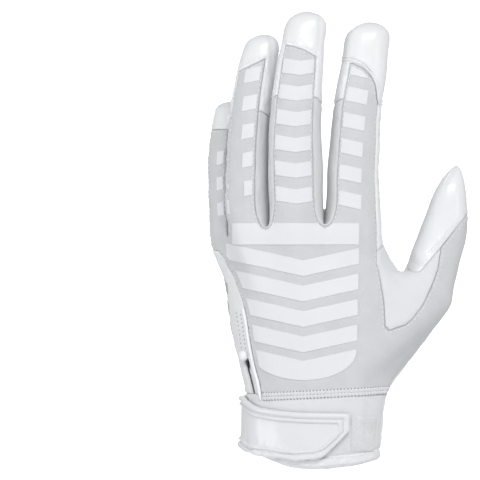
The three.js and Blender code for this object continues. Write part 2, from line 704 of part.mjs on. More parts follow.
const fromSideSeam = (p) => layoutX(p) - lineHeight(SIDE_SEAM, p.z);
const fromVent = (p) => layoutX(p) - lineHeight(VENT.line, p.z);
const VENT_EDGES = [
  (p) => VENT.top - p.z,
  (p) => VENT.halfWide - fromVent(p),
  (p) => VENT.halfWide + fromVent(p),
];
const PIPING_EDGES = [
  (p) => PIPING.halfWide - fromSideSeam(p),
  (p) => PIPING.halfWide + fromSideSeam(p),
  (p) => p.z - PIPING.from,
  (p) => PIPING.to - p.z,
];

function layOutPanels(skin) {
  for (const { name, rows } of FINGERS) {
    cut(skin, (tag) => tag === `${name}.back`,
      (p) => p.z - lineHeight(CAP_LINES[name], layoutX(p)), `${name}.palm`);
    const middle = rows[rows.length >> 1].y;
    cut(skin, (tag) => tag.startsWith(`${name}.web`),
      (p) => p.z - WEB_TOPS[name] + WEB_TOP_SLOPE * (p.y - middle), `${name}.palm`);
  }
  const thumbTop = (tag) => tag === 'thumb.gusset' || tag === 'thumb.back';
  cut(skin, thumbTop, (p) => p.z - lineHeight(THUMB_SEAM, layoutX(p)), 'thumb.palm');
  cut(skin, (tag) => tag === 'back' || thumbTop(tag),
    (p) => insideOutline(GUSSET_OUTLINE, layoutX(p), p.z), 'gusset');

  const littleSide = (tag) => tag === 'back' || tag === 'side_back';
  cut(skin, littleSide, (p) => -fromSideSeam(p), 'side_front');
  cutRegion(skin, (tag) => tag === 'side_front', VENT_EDGES, 'vent');
}

// Tags as name the matching faces on the positive side of every edge.
function cutRegion(skin, match, edges, name) {
  let current = match;
  edges.forEach((edge, i) => {
    const tag = i === edges.length - 1 ? name : `side_${name}${i}`;
    cut(skin, current, edge, tag, EDGE_SNAP);
    current = (t) => t === tag;
  });
}

// A layer over the part of the skin that lies inside every edge, between two heights.
function layerOn(skin, match, edges, outer, inner) {
  const copy = {
    points: [...skin.points],
    normals: [...skin.normals],
    triangles: skin.triangles,
    tags: skin.tags,
  };
  cutRegion(copy, match, edges, 'layer');
  return shellOf(copy, (tag) => tag === 'layer', outer, inner, 0);
}

const skin = buildSkin(SKIN_LEVELS);
layOutPanels(skin);

// The panel that a face belongs to. The palm cloth is parted at the creases of the fingers.
const panelOf = (tag) => {
  if (tag.includes('.web')) return tag.slice(tag.indexOf('web'));
  if (tag === 'thumb.gusset' || tag === 'side_back' || tag.endsWith('.back')) return 'back';
  if (tag.startsWith('side_') || tag.endsWith('.side')) return 'side';
  return tag;
};

const glove = new THREE.Group();
glove.name = 'football_glove';

function addPiece(name, geometry, color, roughness) {
  const material = new THREE.MeshStandardMaterial({ color, roughness, metalness: 0 });
  const mesh = new THREE.Mesh(geometry, material);
  mesh.name = name;
  glove.add(mesh);
  return mesh;
}

const PANELS = [
  { name: 'palm_panel', tag: 'palm', wall: PALM_WALL, color: 0xf2f2f0, roughness: 0.25 },
  { name: 'pinky_front', tag: 'pinky.palm', wall: PALM_WALL, color: 0xf2f2f0, roughness: 0.25 },
  { name: 'ring_front', tag: 'ring.palm', wall: PALM_WALL, color: 0xf2f2f0, roughness: 0.25 },
  { name: 'middle_front', tag: 'middle.palm', wall: PALM_WALL, color: 0xf2f2f0, roughness: 0.25 },
  { name: 'index_front', tag: 'index.palm', wall: PALM_WALL, color: 0xf2f2f0, roughness: 0.25 },
  { name: 'thumb_front', tag: 'thumb.palm', wall: PALM_WALL, color: 0xf2f2f0, roughness: 0.25 },
  { name: 'back_panel', tag: 'back', wall: KNIT_WALL, color: 0x8b9098, roughness: 0.8 },
  { name: 'side_panel', tag: 'side', wall: KNIT_WALL, color: 0xe6e7e8, roughness: 0.6 },
  { name: 'thumb_gusset', tag: 'gusset', wall: KNIT_WALL, color: 0xc9cdd2, roughness: 0.6 },
  { name: 'fourchette_ring_pinky', tag: 'web0', wall: FOURCHETTE_WALL, color: 0xa7adb4, roughness: 0.7 },
  { name: 'fourchette_middle_ring', tag: 'web1', wall: FOURCHETTE_WALL, color: 0xa7adb4, roughness: 0.7 },
  { name: 'fourchette_index_middle', tag: 'web2', wall: FOURCHETTE_WALL, color: 0xa7adb4, roughness: 0.7 },
  { name: 'cuff', tag: 'cuff', wall: CUFF_WALL, color: 0xc3c8ce, roughness: 0.6 },
];
for (const { name, tag, wall, color, roughness } of PANELS) {
  const inset = tag.startsWith('web') ? WEB_INSET : GAP / 2;
  addPiece(name, shellOf(skin, (t) => panelOf(t) === tag, 0, -wall, inset), color, roughness);
}
addPiece('hem_binding', shellOf(skin, (tag) => tag === 'hem', HEM_LIFT, HEM_LIFT - HEM_WALL),
  0xdadde0, 0.6);

// The stretches of the skin that each layer may lie on
const nearWrist = (tag, p) => p.z < STRAP.highest && tag !== 'palm' &&
  (tag !== 'hem' || p.y < STRAP.palmEnd);
const onCuff = (tag) => tag === 'cuff';
const besideSeam = (tag, p) => p.y < 0 && p.z < PIPING.highest && tag !== 'side';
addPiece('strap', layerOn(skin, nearWrist, STRAP_EDGES, STRAP.lift + STRAP.thick, STRAP.lift),
  0xe9ebed, 0.45);
addPiece('loop_patch', layerOn(skin, onCuff, LOOP_PATCH_EDGES, GAP + LOOP_PATCH.thick, GAP),
  0xb9bec5, 0.9);
addPiece('vent_piping', layerOn(skin, besideSeam, PIPING_EDGES, GAP + PIPING.thick, GAP),
  0xe9ebed, 0.5);

// The rounded stay at the top of the vent, lying on the skin
const stay = addPiece('vent_stay', new THREE.SphereGeometry(1, 12, 8)
  .scale(VENT_STAY.halfWide, VENT_STAY.halfDeep, VENT_STAY.halfHigh), 0xd4d7da, 0.5);
const seat = skinAt(skin, VENT_STAY.across, VENT_STAY.z);
stay.quaternion.setFromUnitVectors(new THREE.Vector3(0, -1, 0), seat.normal);
stay.position.copy(seat.point).addScaledVector(seat.normal, GAP + VENT_STAY.halfDeep);

export default glove;
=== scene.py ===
"""A left-hand football receiver's glove, filled out as on a hand, fingers up.

The sewn panels are cut from one smooth skin. The skin repeats the sections of the CAD model, in
millimetres, and is turned into metres when a mesh is made.
"""
import math
from types import SimpleNamespace

import bpy
import numpy as np
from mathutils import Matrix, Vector, kdtree, noise


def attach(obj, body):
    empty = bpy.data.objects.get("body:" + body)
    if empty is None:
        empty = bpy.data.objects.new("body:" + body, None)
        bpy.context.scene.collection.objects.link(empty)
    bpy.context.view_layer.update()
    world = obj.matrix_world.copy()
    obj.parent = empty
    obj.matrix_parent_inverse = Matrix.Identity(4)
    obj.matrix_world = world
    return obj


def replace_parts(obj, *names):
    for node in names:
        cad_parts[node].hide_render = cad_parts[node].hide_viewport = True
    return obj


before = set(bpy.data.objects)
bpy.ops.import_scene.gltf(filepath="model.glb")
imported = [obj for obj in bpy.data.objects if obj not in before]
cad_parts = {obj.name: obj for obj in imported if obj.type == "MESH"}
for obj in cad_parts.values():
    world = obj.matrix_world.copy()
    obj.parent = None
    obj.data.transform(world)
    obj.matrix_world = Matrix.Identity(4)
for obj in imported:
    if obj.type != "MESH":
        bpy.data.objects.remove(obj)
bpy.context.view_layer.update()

MM = 0.001
LAYOUT_TURN = math.radians(14)
TURN_COS = math.cos(LAYOUT_TURN)
TURN_SIN = math.sin(LAYOUT_TURN)

# Finger sections from the web to the tip: height, middle x and y, width, depth, lean in degrees
FINGERS = {
    "pinky": (31, [
        (108, -42.7, 11.6, 17.6, 17.2, 22), (116, -44, 12.6, 16.6, 16.8, 18),
        (128, -44.8, 13.6, 16.4, 16.6, 8), (140, -45.2, 14.6, 17, 16.8, 0),
        (152, -45, 16.2, 16.6, 16, -4), (161, -44.8, 17.6, 15.2, 14.6, -6),
        (167.5, -44.7, 18.8, 12.6, 11.6, -6), (171.3, -44.6, 19.8, 0, 0, 0),
    ]),
    "ring": (10, [
        (114, -29.8, -0.4, 22, 22.5, 24), (123, -30.9, -0.2, 20, 20.4, 19),
        (137, -31.2, 0.2, 19.6, 19.6, 9), (152, -31, 1.3, 19.4, 19, 2),
        (167, -30.1, 3, 18.8, 18.4, -2), (181, -28.6, 4.9, 18, 17.4, -4),
        (191, -27.2, 6.7, 16.8, 16, -6), (198.5, -25.9, 8.2, 14.6, 13, -6),
        (202.6, -24.8, 9.3, 0, 0, 0),
    ]),
    "middle": (-8, [
        (117, -6.8, -1.6, 26, 25, 24), (126, -7.2, -1.6, 25.4, 23, 19),
        (140, -7.6, -1.3, 25.4, 22, 9), (156, -7.8, -0.9, 24.6, 21.4, 2),
        (173, -7.1, 0.3, 23.4, 20.6, -2), (188, -6, 2, 21.8, 19.4, -4),
        (199.5, -4.9, 3.9, 20.2, 17.6, -6), (208.4, -3.9, 5.3, 17.4, 14.4, -6),
        (213, -3.8, 6.3, 0, 0, 0),
    ]),
    "index": (-22, [
        (116, 18, 6.4, 27, 25, 24), (125, 18.2, 6.7, 25.2, 22.6, 19),
        (138, 18.2, 7.2, 24.2, 21.4, 9), (153, 18.9, 7.8, 23.4, 20.6, 2),
        (168, 19.9, 9.1, 22.8, 20, -2), (182, 21.6, 11, 22.2, 19.2, -4),
        (193, 22.8, 12.9, 21.4, 18, -6), (203, 23.8, 14.4, 19.2, 15, -6),
        (208, 24.2, 15.3, 0, 0, 0),
    ]),
}
CORNER = 0.75
# The eight points of a section, in halves of its width and depth, as the thumb counts them
THUMB_RING = [
    (1, 0), (CORNER, CORNER), (0, 1), (-CORNER, CORNER),
    (-1, 0), (-CORNER, -CORNER), (0, -1), (CORNER, -CORNER),
]
# A finger counts them from its back's corner on the little finger's side, the other way round
FINGER_RING = THUMB_RING[3::-1] + THUMB_RING[:3:-1]
WEB_DROP = 3.5
WEBS = len(FINGERS) - 1
TAG_TYPE = "U24"

# Hand sections: height, how far they cup towards the knuckles, little-finger edge, thumb edge
HAND = [
    (0, 0, -31.4, 31.2),
    (4.8, 0, -31.4, 31.5),
    (19, 0, -31.1, 32.6),
    (34, 0.03, -31.0, 34.6),
    (48, 0.18, -33.8, None),
    (68, 0.42, -37.8, None),
    (89, 0.74, -40.8, None),
    (102, 0.93, -44.8, 33.4),
]
WRIST_MIDDLE, WRIST_HALF_WIDE, WRIST_HALF_DEEP = 0.8, 32.2, 21
LINE_ANGLES = np.radians([
    -143, -128, -115, -102.5, -90, -77.5, -65, -52, -37, 0,
    37, 52, 65, 77.5, 90, 102.5, 115, 128, 143, 180,
])
LINES = len(LINE_ANGLES)
THUMB_EDGE, LITTLE_EDGE, BACK_MIDDLE = 9, 19, 4
TUBE_LINES = 8
KNUCKLE_FADE = 3
SMOOTH_STEPS = (0.5, -0.53)
SMOOTH_ROUNDS = 8
# How far the wrist edge rises, by how far it is across the wrist: -1 the little edge, 1 the thumb's
HEM_BACK = [(-1, 8), (-0.8, 7), (-0.53, 4.4), (-0.35, 2), (-0.1, 0.2), (0.2, 0), (0.75, 1.6), (1, 4)]
HEM_PALM = [(-1, 8), (-0.5, 1), (0, -1.5), (0.5, 0), (1, 4)]
HEM_FADE = 30

WRIST_ROW = 3
THUMB_ROOT_ROW = 4
# The ring of cloth that the thumb grows from: hand row above the root's first, line, place
THUMB_ROOT = [
    (2, 9, (37.2, 15.5, 92)),
    (2, 8, (33.7, -2, 90)),
    (1, 8, (36.5, -5.5, 68)),
    (0, 8, (34.5, -8, 49)),
    (0, 9, (43.2, 14, 49)),
    (0, 10, (31, 24, 47)),
    (1, 10, (33, 33, 66)),
    (2, 10, (33, 28, 88)),
]
# Thumb sections: place, thickness, width, climb in degrees
THUMB = [
    ((48.9, 18.5, 80.0), 28.6, 28.0, 56),
    ((51.9, 22.1, 88.2), 26.6, 25.4, 42),
    ((53.8, 24.7, 98.0), 23.2, 22.0, 20),
    ((56.8, 27.1, 109.5), 21.6, 20.6, 9),
    ((59.0, 28.6, 121.5), 18.0, 19.8, 7),
    ((60.6, 29.5, 131.0), 13.0, 16.4, 7),
    ((61.9, 30.2, 137.0), 7.4, 10.4, 7),
]
THUMB_TIP = (62.5, 30.5, 140.9)

# Soft mounds and hollows of the palm: x, z, radius, height
MOUNDS = [(25, 62, 36, 12), (-26, 54, 32, 4), (-3, 80, 24, -2.5)]

FIT_ROUNDS = 10
SKIN_LEVELS = 3
SNAP = 0.1


def layout_x(points):
    return points[..., 0] * TURN_COS + points[..., 1] * TURN_SIN


def eight_points(middle, across, wide, back, deep, ring):
    return [middle + across * a * wide / 2 + back * b * deep / 2 for a, b in ring]


def finger_section(roll, row):
    height, x, y, wide, deep, lean = row
    turn = math.radians(roll)
    across = np.array([math.cos(turn), -math.sin(turn), 0])
    back = np.array([-math.sin(turn), -math.cos(turn), -math.tan(math.radians(lean))])
    return eight_points(np.array([x, y, height]), across, wide, back, deep, FINGER_RING)


def thumb_section(row, axis):
    place, thick, wide, climb = row
    climb = math.radians(climb)
    web = np.array([-math.cos(climb) * TURN_COS, -math.cos(climb) * TURN_SIN, math.sin(climb)])
    back = np.cross(web, axis)
    back /= np.linalg.norm(back)
    if back[1] > 0:
        back = -back
    return eight_points(np.array(place), web, thick, back, wide, THUMB_RING)


def smooth_ring(ring):
    """The ring with its short waves taken out and its size kept."""
    points = ring.copy()
    for _ in range(SMOOTH_ROUNDS):
        for amount in SMOOTH_STEPS:
            middle = (np.roll(points, -1, axis=0) + np.roll(points, 1, axis=0)) / 2
            points = points + (middle - points) * amount
    return points


def hem_rise(angles):
    palm, back = (line_height(table, np.cos(angles)) for table in (HEM_PALM, HEM_BACK))
    return np.where(np.sin(angles) > 0, palm, back)


def knuckle_ring():
    """The ring of points that the fingers share with the hand, and the webs between them."""
    base = [finger_section(roll, rows[0]) for roll, rows in FINGERS.values()]
    ring = np.zeros((LINES, 3))
    ring[0], ring[LITTLE_EDGE - 1], ring[LITTLE_EDGE] = base[0][0], base[0][6], base[0][7]
    for f, spots in enumerate(base):
        last = f == WEBS
        back, palm = 2 * f, LITTLE_EDGE - 1 - 2 * f
        ring[back + 1] = spots[1]
        ring[palm - 1] = spots[5]
        ring[back + 2] = spots[2] if last else (spots[2] + base[f + 1][0]) / 2
        ring[palm - 2] = spots[4] if last else (spots[4] + base[f + 1][6]) / 2
    ring[THUMB_EDGE] = base[-1][3]
    webs = [(base[f][3] + base[f + 1][7]) / 2 - [0, 0, WEB_DROP] for f in range(WEBS)]
    return ring, webs


def hand_ring(row, top, plain_top):
    height, cup, left, right = row
    ring = np.stack([
        WRIST_MIDDLE + WRIST_HALF_WIDE * np.cos(LINE_ANGLES),
        WRIST_HALF_DEEP * np.sin(LINE_ANGLES),
        np.full(LINES, float(height)),
    ], axis=1)
    arch = plain_top + (top - plain_top) * cup ** KNUCKLE_FADE
    ring[:, :2] += (arch[:, :2] - ring[:, :2]) * cup
    ring[:, 2] += (arch[:, 2] - top[:, 2].mean()) * cup ** 2
    ring[:, 2] += hem_rise(LINE_ANGLES) * max(0, 1 - height / HEM_FADE)
    palm = slice(THUMB_EDGE + 1, LITTLE_EDGE)
    for x, z, radius, bulge in MOUNDS:
        t = np.minimum(1, np.hypot(ring[palm, 0] - x, height - z) / radius)
        ring[palm, 1] += bulge * (1 - t * t) ** 2
    middle = ring[BACK_MIDDLE, 0]
    across = layout_x(ring)
    for edge, reached, side in (
        (left, across.min(), ring[:, 0] < middle), (right, across.max(), ring[:, 0] > middle),
    ):
        if edge is not None:
            reach = (edge - middle) / (reached - middle)
            ring[side, 0] = middle + (ring[side, 0] - middle) * reach
    return ring


def hand_tag(row, line):
    if row == 0:
        return "hem"
    if THUMB_EDGE <= line < LITTLE_EDGE - 1:
        return "palm"
    if row < WRIST_ROW:
        return "cuff"
    if line == LITTLE_EDGE:
        return "side_back" if row < len(HAND) - 1 else "side"
    if line == LITTLE_EDGE - 1:
        return "side"
    if line < THUMB_EDGE - 1 or row < THUMB_ROOT_ROW:
        return "back"
    return "gusset" if row == THUMB_ROOT_ROW + 2 else "palm"


def build_cage():
    """The coarse quads whose points the smooth surface passes through."""
    points, faces, tags = [], [], []

    def add(point):
        points.append(np.array(point, float))
        return len(points) - 1

    def tube(first, sections, tip, around, cap):
        ring = first
        for section in sections:
            above = [add(p) for p in section]
            for i in range(TUBE_LINES):
                k = (i + 1) % TUBE_LINES
                faces.append((ring[i], ring[k], above[k], above[i]))
                tags.append(around[i])
            ring = above
        end = add(tip)
        for i in range(1, TUBE_LINES, 2):
            faces.append((ring[i], ring[(i + 1) % TUBE_LINES], ring[(i + 2) % TUBE_LINES], end))
            tags.append(cap)

    top, webs = knuckle_ring()
    plain_top = smooth_ring(top)
    rings = [hand_ring(row, top, plain_top) for row in HAND] + [top]
    for row, line, place in THUMB_ROOT:
        rings[THUMB_ROOT_ROW + row][line] = place
    swallowed = (THUMB_ROOT_ROW + 1, THUMB_EDGE)
    ids = [
        [-1 if (r, line) == swallowed else add(p) for line, p in enumerate(ring)]
        for r, ring in enumerate(rings)
    ]
    for r in range(len(rings) - 1):
        for line in range(LINES):
            in_rows = r in (THUMB_ROOT_ROW, THUMB_ROOT_ROW + 1)
            if in_rows and line in (THUMB_EDGE - 1, THUMB_EDGE):
                continue
            k = (line + 1) % LINES
            faces.append((ids[r][line], ids[r][k], ids[r + 1][k], ids[r + 1][line]))
            tags.append(hand_tag(r, line))

    web_ids = [add(p) for p in webs]
    top_ids = ids[-1]
    for f, (name, (roll, rows)) in enumerate(FINGERS.items()):
        back, palm = 2 * f, LITTLE_EDGE - 1 - 2 * f
        first = [
            *top_ids[back:back + 3], web_ids[f] if f < WEBS else top_ids[THUMB_EDGE],
            *top_ids[palm - 2:palm + 1], web_ids[f - 1] if f > 0 else top_ids[LITTLE_EDGE],
        ]
        radial = f"web{f}" if f < WEBS else "palm"
        ulnar = f"web{f - 1}" if f > 0 else "side"
        around = ["back", "back", radial, radial, "palm", "palm", ulnar, ulnar]
        tube(
            first, [finger_section(roll, row) for row in rows[1:-1]],
            (rows[-1][1], rows[-1][2], rows[-1][0]),
            [f"{name}.{part}" for part in around], f"{name}.palm")

    root = [ids[THUMB_ROOT_ROW + row][line] for row, line, _ in THUMB_ROOT]
    spots = [np.array(row[0]) for row in THUMB] + [np.array(THUMB_TIP)]
    sections = []
    for j, row in enumerate(THUMB):
        axis = spots[j + 1] - spots[max(0, j - 1)]
        sections.append(thumb_section(row, axis / np.linalg.norm(axis)))
    around = ["gusset", "gusset", "back", "back", "palm", "palm", "palm", "palm"]
    tube(root, sections, THUMB_TIP, [f"thumb.{part}" for part in around], "thumb.palm")
    return np.array(points), np.array(faces), np.array(tags)


def edge_ends(faces):
    """The two ends of each edge, in order round every face."""
    return np.stack([faces, np.roll(faces, -1, axis=1)], axis=2)


def topology(quads, count):
    """Edges as pairs, the edge after each face corner, and how many faces use each edge."""
    ends = edge_ends(quads)
    keys, index = np.unique(ends.min(2) * count + ends.max(2), return_inverse=True)
    index = index.reshape(-1, 4)
    return np.stack([keys // count, keys % count], 1), index, np.bincount(index.ravel())


def sums(count, index, values):
    """Adds up values, one row each, at the places that index gives."""
    total = np.zeros((count, 3))
    np.add.at(total, index, values)
    return total


def neighbour_sums(points, pairs):
    """Adds up, for every point, the points that the pairs join it to."""
    low, high = pairs.T
    return sums(len(points), low, points[high]) + sums(len(points), high, points[low])


def rim_sums(points, edges, uses):
    rim = edges[uses == 1]
    on_rim = np.zeros(len(points), bool)
    on_rim[rim.ravel()] = True
    return on_rim, neighbour_sums(points, rim)


def limit_points(points, quads):
    """Where the smooth surface passes for each point of a cage."""
    count = len(points)
    edges, _, uses = topology(quads, count)
    near = neighbour_sums(points, edges)
    opposite = sums(count, quads.ravel(), points[np.roll(quads, -2, axis=1).ravel()])
    n = np.bincount(edges.ravel(), minlength=count)[:, None]
    inner = (points * n * n + near * 4 + opposite) / (n * (n + 5))
    on_rim, rim_near = rim_sums(points, edges, uses)
    return np.where(on_rim[:, None], (points * 4 + rim_near) / 6, inner)


def fit_through_points(points, quads):
    """Moves a cage's points until the smooth surface passes through where they were."""
    fitted = points.copy()
    for _ in range(FIT_ROUNDS):
        fitted = fitted + points - limit_points(fitted, quads)
    return fitted


def subdivide(points, quads, tags):
    count = len(points)
    edges, edge_of, uses = topology(quads, count)
    face_points = points[quads].mean(1)
    middles = points[edges].mean(1)
    face_sum = sums(len(edges), edge_of.ravel(), np.repeat(face_points, 4, axis=0))
    edge_points = np.where(
        (uses == 1)[:, None], middles, (points[edges].sum(1) + face_sum) / 4)
    n = np.bincount(edges.ravel(), minlength=count)[:, None]
    near_faces = sums(count, quads.ravel(), np.repeat(face_points, 4, axis=0)) / n
    near_edges = (sums(count, edges[:, 0], middles) + sums(count, edges[:, 1], middles)) / n
    inner = (near_faces + near_edges * 2 + points * (n - 3)) / n
    on_rim, rim_near = rim_sums(points, edges, uses)
    moved = np.where(on_rim[:, None], (points * 6 + rim_near) / 8, inner)
    face_ids = count + np.arange(len(quads))
    edge_ids = count + len(quads) + edge_of
    finer = [
        np.stack([quads[:, i], edge_ids[:, i], face_ids, edge_ids[:, i - 1]], 1) for i in range(4)
    ]
    return (
        np.concatenate([moved, face_points, edge_points]),
        np.stack(finer, 1).reshape(-1, 4),
        np.repeat(tags, 4),
    )


def unit(vectors):
    return vectors / np.maximum(np.linalg.norm(vectors, axis=-1, keepdims=True), 1e-9)


def point_normals(points, tris):
    a, b, c = (points[tris[:, i]] for i in range(3))
    return unit(sums(len(points), tris.ravel(), np.repeat(np.cross(b - a, c - a), 3, axis=0)))


def build_skin():
    points, quads, tags = build_cage()
    points = fit_through_points(points, quads)
    for _ in range(SKIN_LEVELS):
        points, quads, tags = subdivide(points, quads, tags)
    points = limit_points(points, quads)
    a, b, c, d = (points[quads[:, i]] for i in range(4))
    short = np.linalg.norm(a - c, axis=1) <= np.linalg.norm(b - d, axis=1)
    first = np.where(short[:, None], quads[:, [0, 1, 2]], quads[:, [1, 2, 3]])
    second = np.where(short[:, None], quads[:, [0, 2, 3]], quads[:, [1, 3, 0]])
    tris = np.stack([first, second], 1).reshape(-1, 3)
    return SimpleNamespace(
        points=points, normals=point_normals(points, tris), tris=tris,
        tags=np.repeat(tags, 2).astype(TAG_TYPE), fields={})


def turned(tris, shift):
    """Triangles with their corners turned round by shift places each."""
    return np.take_along_axis(tris, (np.arange(3)[None] + shift[:, None]) % 3, axis=1)


def cut(skin, match, value, new_tag=None, snap=SNAP):
    """Cuts the matching triangles where value is 0. The new tag goes on the positive side.

    match is a mask of the triangles, or True for all.
    """
    match = np.broadcast_to(match, len(skin.tris))
    value = np.where(np.abs(value) < snap, 0.0, value)
    count = len(skin.points)
    ends = edge_ends(skin.tris)
    low, high = ends.min(2), ends.max(2)
    keys = low * count + high
    crossed = (value[low] * value[high] < 0) & match[:, None]
    cut_keys = np.unique(keys[crossed])
    a, b = cut_keys // count, cut_keys % count
    share = (value[a] / (value[a] - value[b]))[:, None]
    skin.points = np.concatenate([skin.points, lerp(skin.points, a, b, share)])
    skin.normals = np.concatenate([skin.normals, unit(lerp(skin.normals, a, b, share))])
    for name, field in skin.fields.items():
        skin.fields[name] = np.concatenate([field, lerp(field, a, b, share[:, 0])])
    value = np.concatenate([value, np.zeros(len(cut_keys))])
    hit = np.isin(keys, cut_keys)
    middle = count + np.searchsorted(cut_keys, keys)
    hits = hit.sum(1)
    parts, parents = [skin.tris[hits == 0]], [np.flatnonzero(hits == 0)]

    def keep(rows, *corners):
        parts.append(np.stack(corners, 1))
        parents.append(rows)

    rows = np.flatnonzero(hits == 1)
    shift = hit[rows].argmax(1)
    c0, c1, c2 = turned(skin.tris[rows], shift).T
    m = turned(middle[rows], shift)[:, 0]
    keep(rows, c0, m, c2)
    keep(rows, m, c1, c2)

    rows = np.flatnonzero(hits == 2)
    shift = ((~hit[rows]).argmax(1) + 2) % 3
    c0, c1, c2 = turned(skin.tris[rows], shift).T
    m0, _, m2 = turned(middle[rows], shift).T
    keep(rows, c0, m0, m2)
    short = np.linalg.norm(skin.points[m0] - skin.points[c2], axis=1) <= np.linalg.norm(
        skin.points[c1] - skin.points[m2], axis=1)
    keep(rows, m0, c1, np.where(short, c2, m2))
    keep(rows, np.where(short, m0, c1), c2, m2)

    tris, parent = np.concatenate(parts), np.concatenate(parents)
    tags = skin.tags[parent]
    if new_tag is not None:
        tags = np.where(match[parent] & (value[tris].sum(1) > 0), new_tag, tags)
    skin.tris, skin.tags = tris, tags.astype(TAG_TYPE)


def lerp(values, a, b, share):
    return values[a] + (values[b] - values[a]) * share


def centres(skin):
    return skin.points[skin.tris].mean(1)


def line_distance(line, x, z):
    """Distance to a line through points on the layout plane."""
    nearest = np.full(len(x), np.inf)
    for (x0, z0), (x1, z1) in zip(line, line[1:]):
        dx, dz = x1 - x0, z1 - z0
        t = np.clip(((x - x0) * dx + (z - z0) * dz) / (dx * dx + dz * dz), 0, 1)
        nearest = np.minimum(nearest, np.hypot(x - x0 - t * dx, z - z0 - t * dz))
    return nearest


def inside_outline(outline, x, z):
    """Signed distance to a closed outline on the layout plane, positive inside."""
    nearest = line_distance(outline, x, z)
    inside = np.zeros(len(x), bool)
    for (x0, z0), (x1, z1) in zip(outline, outline[1:]):
        if z1 != z0:
            inside ^= ((z0 > z) != (z1 > z)) & (x < x0 + (x1 - x0) * (z - z0) / (z1 - z0))
    return np.where(inside, nearest, -nearest)


def line_height(line, x):
    xs, heights = zip(*line)
    return np.interp(x, xs, heights)


# Seam lines on the layout plane
CAP_LINES = {
    "pinky": [(-60, 158), (-30, 158)],
    "ring": [(-35, 184.8), (-28, 188.1), (-22, 190.7), (-16, 191.6)],
    "middle": [(-16, 197.4), (-9.8, 196.6), (-3.7, 194.7), (1.4, 191.9), (7, 188)],
    "index": [(14, 188.7), (19, 188.5), (24, 186.2), (28, 182), (30.2, 177), (31, 168)],
}
WEB_TOPS = {"pinky": 143, "ring": 163, "middle": 170, "index": 168}
WEB_TOP_SLOPE = 0.4
THUMB_SEAM = [(38, 122), (42, 93), (50, 91), (60.2, 102.2), (76, 121.5)]
GUSSET_OUTLINE = [
    (30.6, 112), (31.3, 91), (33.6, 77), (34.2, 63.2), (44.9, 66.6), (51.9, 75.5),
    (55.7, 83.8), (58.9, 92), (60.4, 103), (61, 130), (40, 130), (30.6, 112),
]
# Where the knit back meets the side panel: height, across
SIDE_SEAM = [
    (29, -23.3), (38.6, -24.8), (46, -26.9), (58, -29.3), (70, -31),
    (78, -33), (88, -36.5), (97, -41.5), (101.5, -45.2), (102, -60),
]
VENT_TOP, VENT_HALF_WIDE = 50.5, 1.1
VENT_LINE = [(34, -27.2), (42.7, -29.2), (50.5, -31.2)]


# Measures of points, and the edges of a shape as signed distances that are positive inside it

def height_of(p):
    return p[:, 2]


def depth_of(p):
    """How far the points lie towards the palm, square to the layout plane."""
    return p[:, 1] * TURN_COS - p[:, 0] * TURN_SIN


def beside_line(line):
    """The measure across from a line, which gives places across by height."""
    return lambda p: layout_x(p) - line_height(line, p[:, 2])


def above_line(line):
    """The measure up from a line on the layout plane."""
    return lambda p: p[:, 2] - line_height(line, layout_x(p))


def over(measure, low):
    return lambda p: measure(p) - low


def under(measure, high):
    return lambda p: high - measure(p)


from_side_seam = beside_line(SIDE_SEAM)
from_vent = beside_line(VENT_LINE)


def lay_out_panels(skin):
    """Cuts the skin along its seams and tags each triangle with its panel."""
    for name, (_, rows) in FINGERS.items():
        above_cap_line = above_line(CAP_LINES[name])(skin.points)
        cut(skin, skin.tags == f"{name}.back", above_cap_line, "palm")
        middle = rows[len(rows) // 2][2]
        p = skin.points
        top = p[:, 2] - WEB_TOPS[name] + WEB_TOP_SLOPE * (p[:, 1] - middle)
        cut(skin, np.char.startswith(skin.tags, f"{name}.web"), top, "palm")
    on_thumb = ["thumb.gusset", "thumb.back"]
    cut(skin, np.isin(skin.tags, on_thumb), above_line(THUMB_SEAM)(skin.points), "palm")
    in_gusset = inside_outline(GUSSET_OUTLINE, layout_x(skin.points), skin.points[:, 2])
    cut(skin, np.isin(skin.tags, on_thumb + ["back"]), in_gusset, "gusset")
    on_back = np.isin(skin.tags, ["back", "side_back"])
    cut(skin, on_back, -from_side_seam(skin.points), "side_front")
    cut_region(skin, skin.tags == "side_front", [
        under(height_of, VENT_TOP), under(from_vent, VENT_HALF_WIDE), over(from_vent, -VENT_HALF_WIDE),
    ], "vent")
    tags = np.where(np.isin(skin.tags, ["thumb.gusset", "side_back"]), "back", skin.tags)
    tags = np.where(np.char.startswith(tags, "side_"), "side", tags)
    for panel in ("back", "palm", "side", "web0", "web1", "web2"):
        tags = np.where(np.char.endswith(tags, f".{panel}"), panel, tags)
    skin.tags = tags.astype(TAG_TYPE)


def cut_region(skin, match, edges, name):
    """Tags as name what lies inside every edge."""
    for i, edge in enumerate(edges):
        tag = name if i == len(edges) - 1 else f"side_{name}{i}"
        cut(skin, match, edge(skin.points), tag)
        match = skin.tags == tag


def only(skin, mask=slice(None)):
    """A copy of the skin, or of its masked triangles alone."""
    return SimpleNamespace(
        points=skin.points, normals=skin.normals, tris=skin.tris[mask], tags=skin.tags[mask],
        fields=dict(skin.fields))


def rim_of(tris):
    """The directed edges of the triangles that no other one shares."""
    ends = edge_ends(tris).reshape(-1, 2)
    count = tris.max() + 1
    keys = ends[:, 0] * count + ends[:, 1]
    back = ends[:, 1] * count + ends[:, 0]
    return ends[~np.isin(keys, back)]


def strip(above, below):
    return [
        np.stack([above[:, 1], above[:, 0], below[:, 0]], 1),
        np.stack([above[:, 1], below[:, 0], below[:, 1]], 1),
    ]


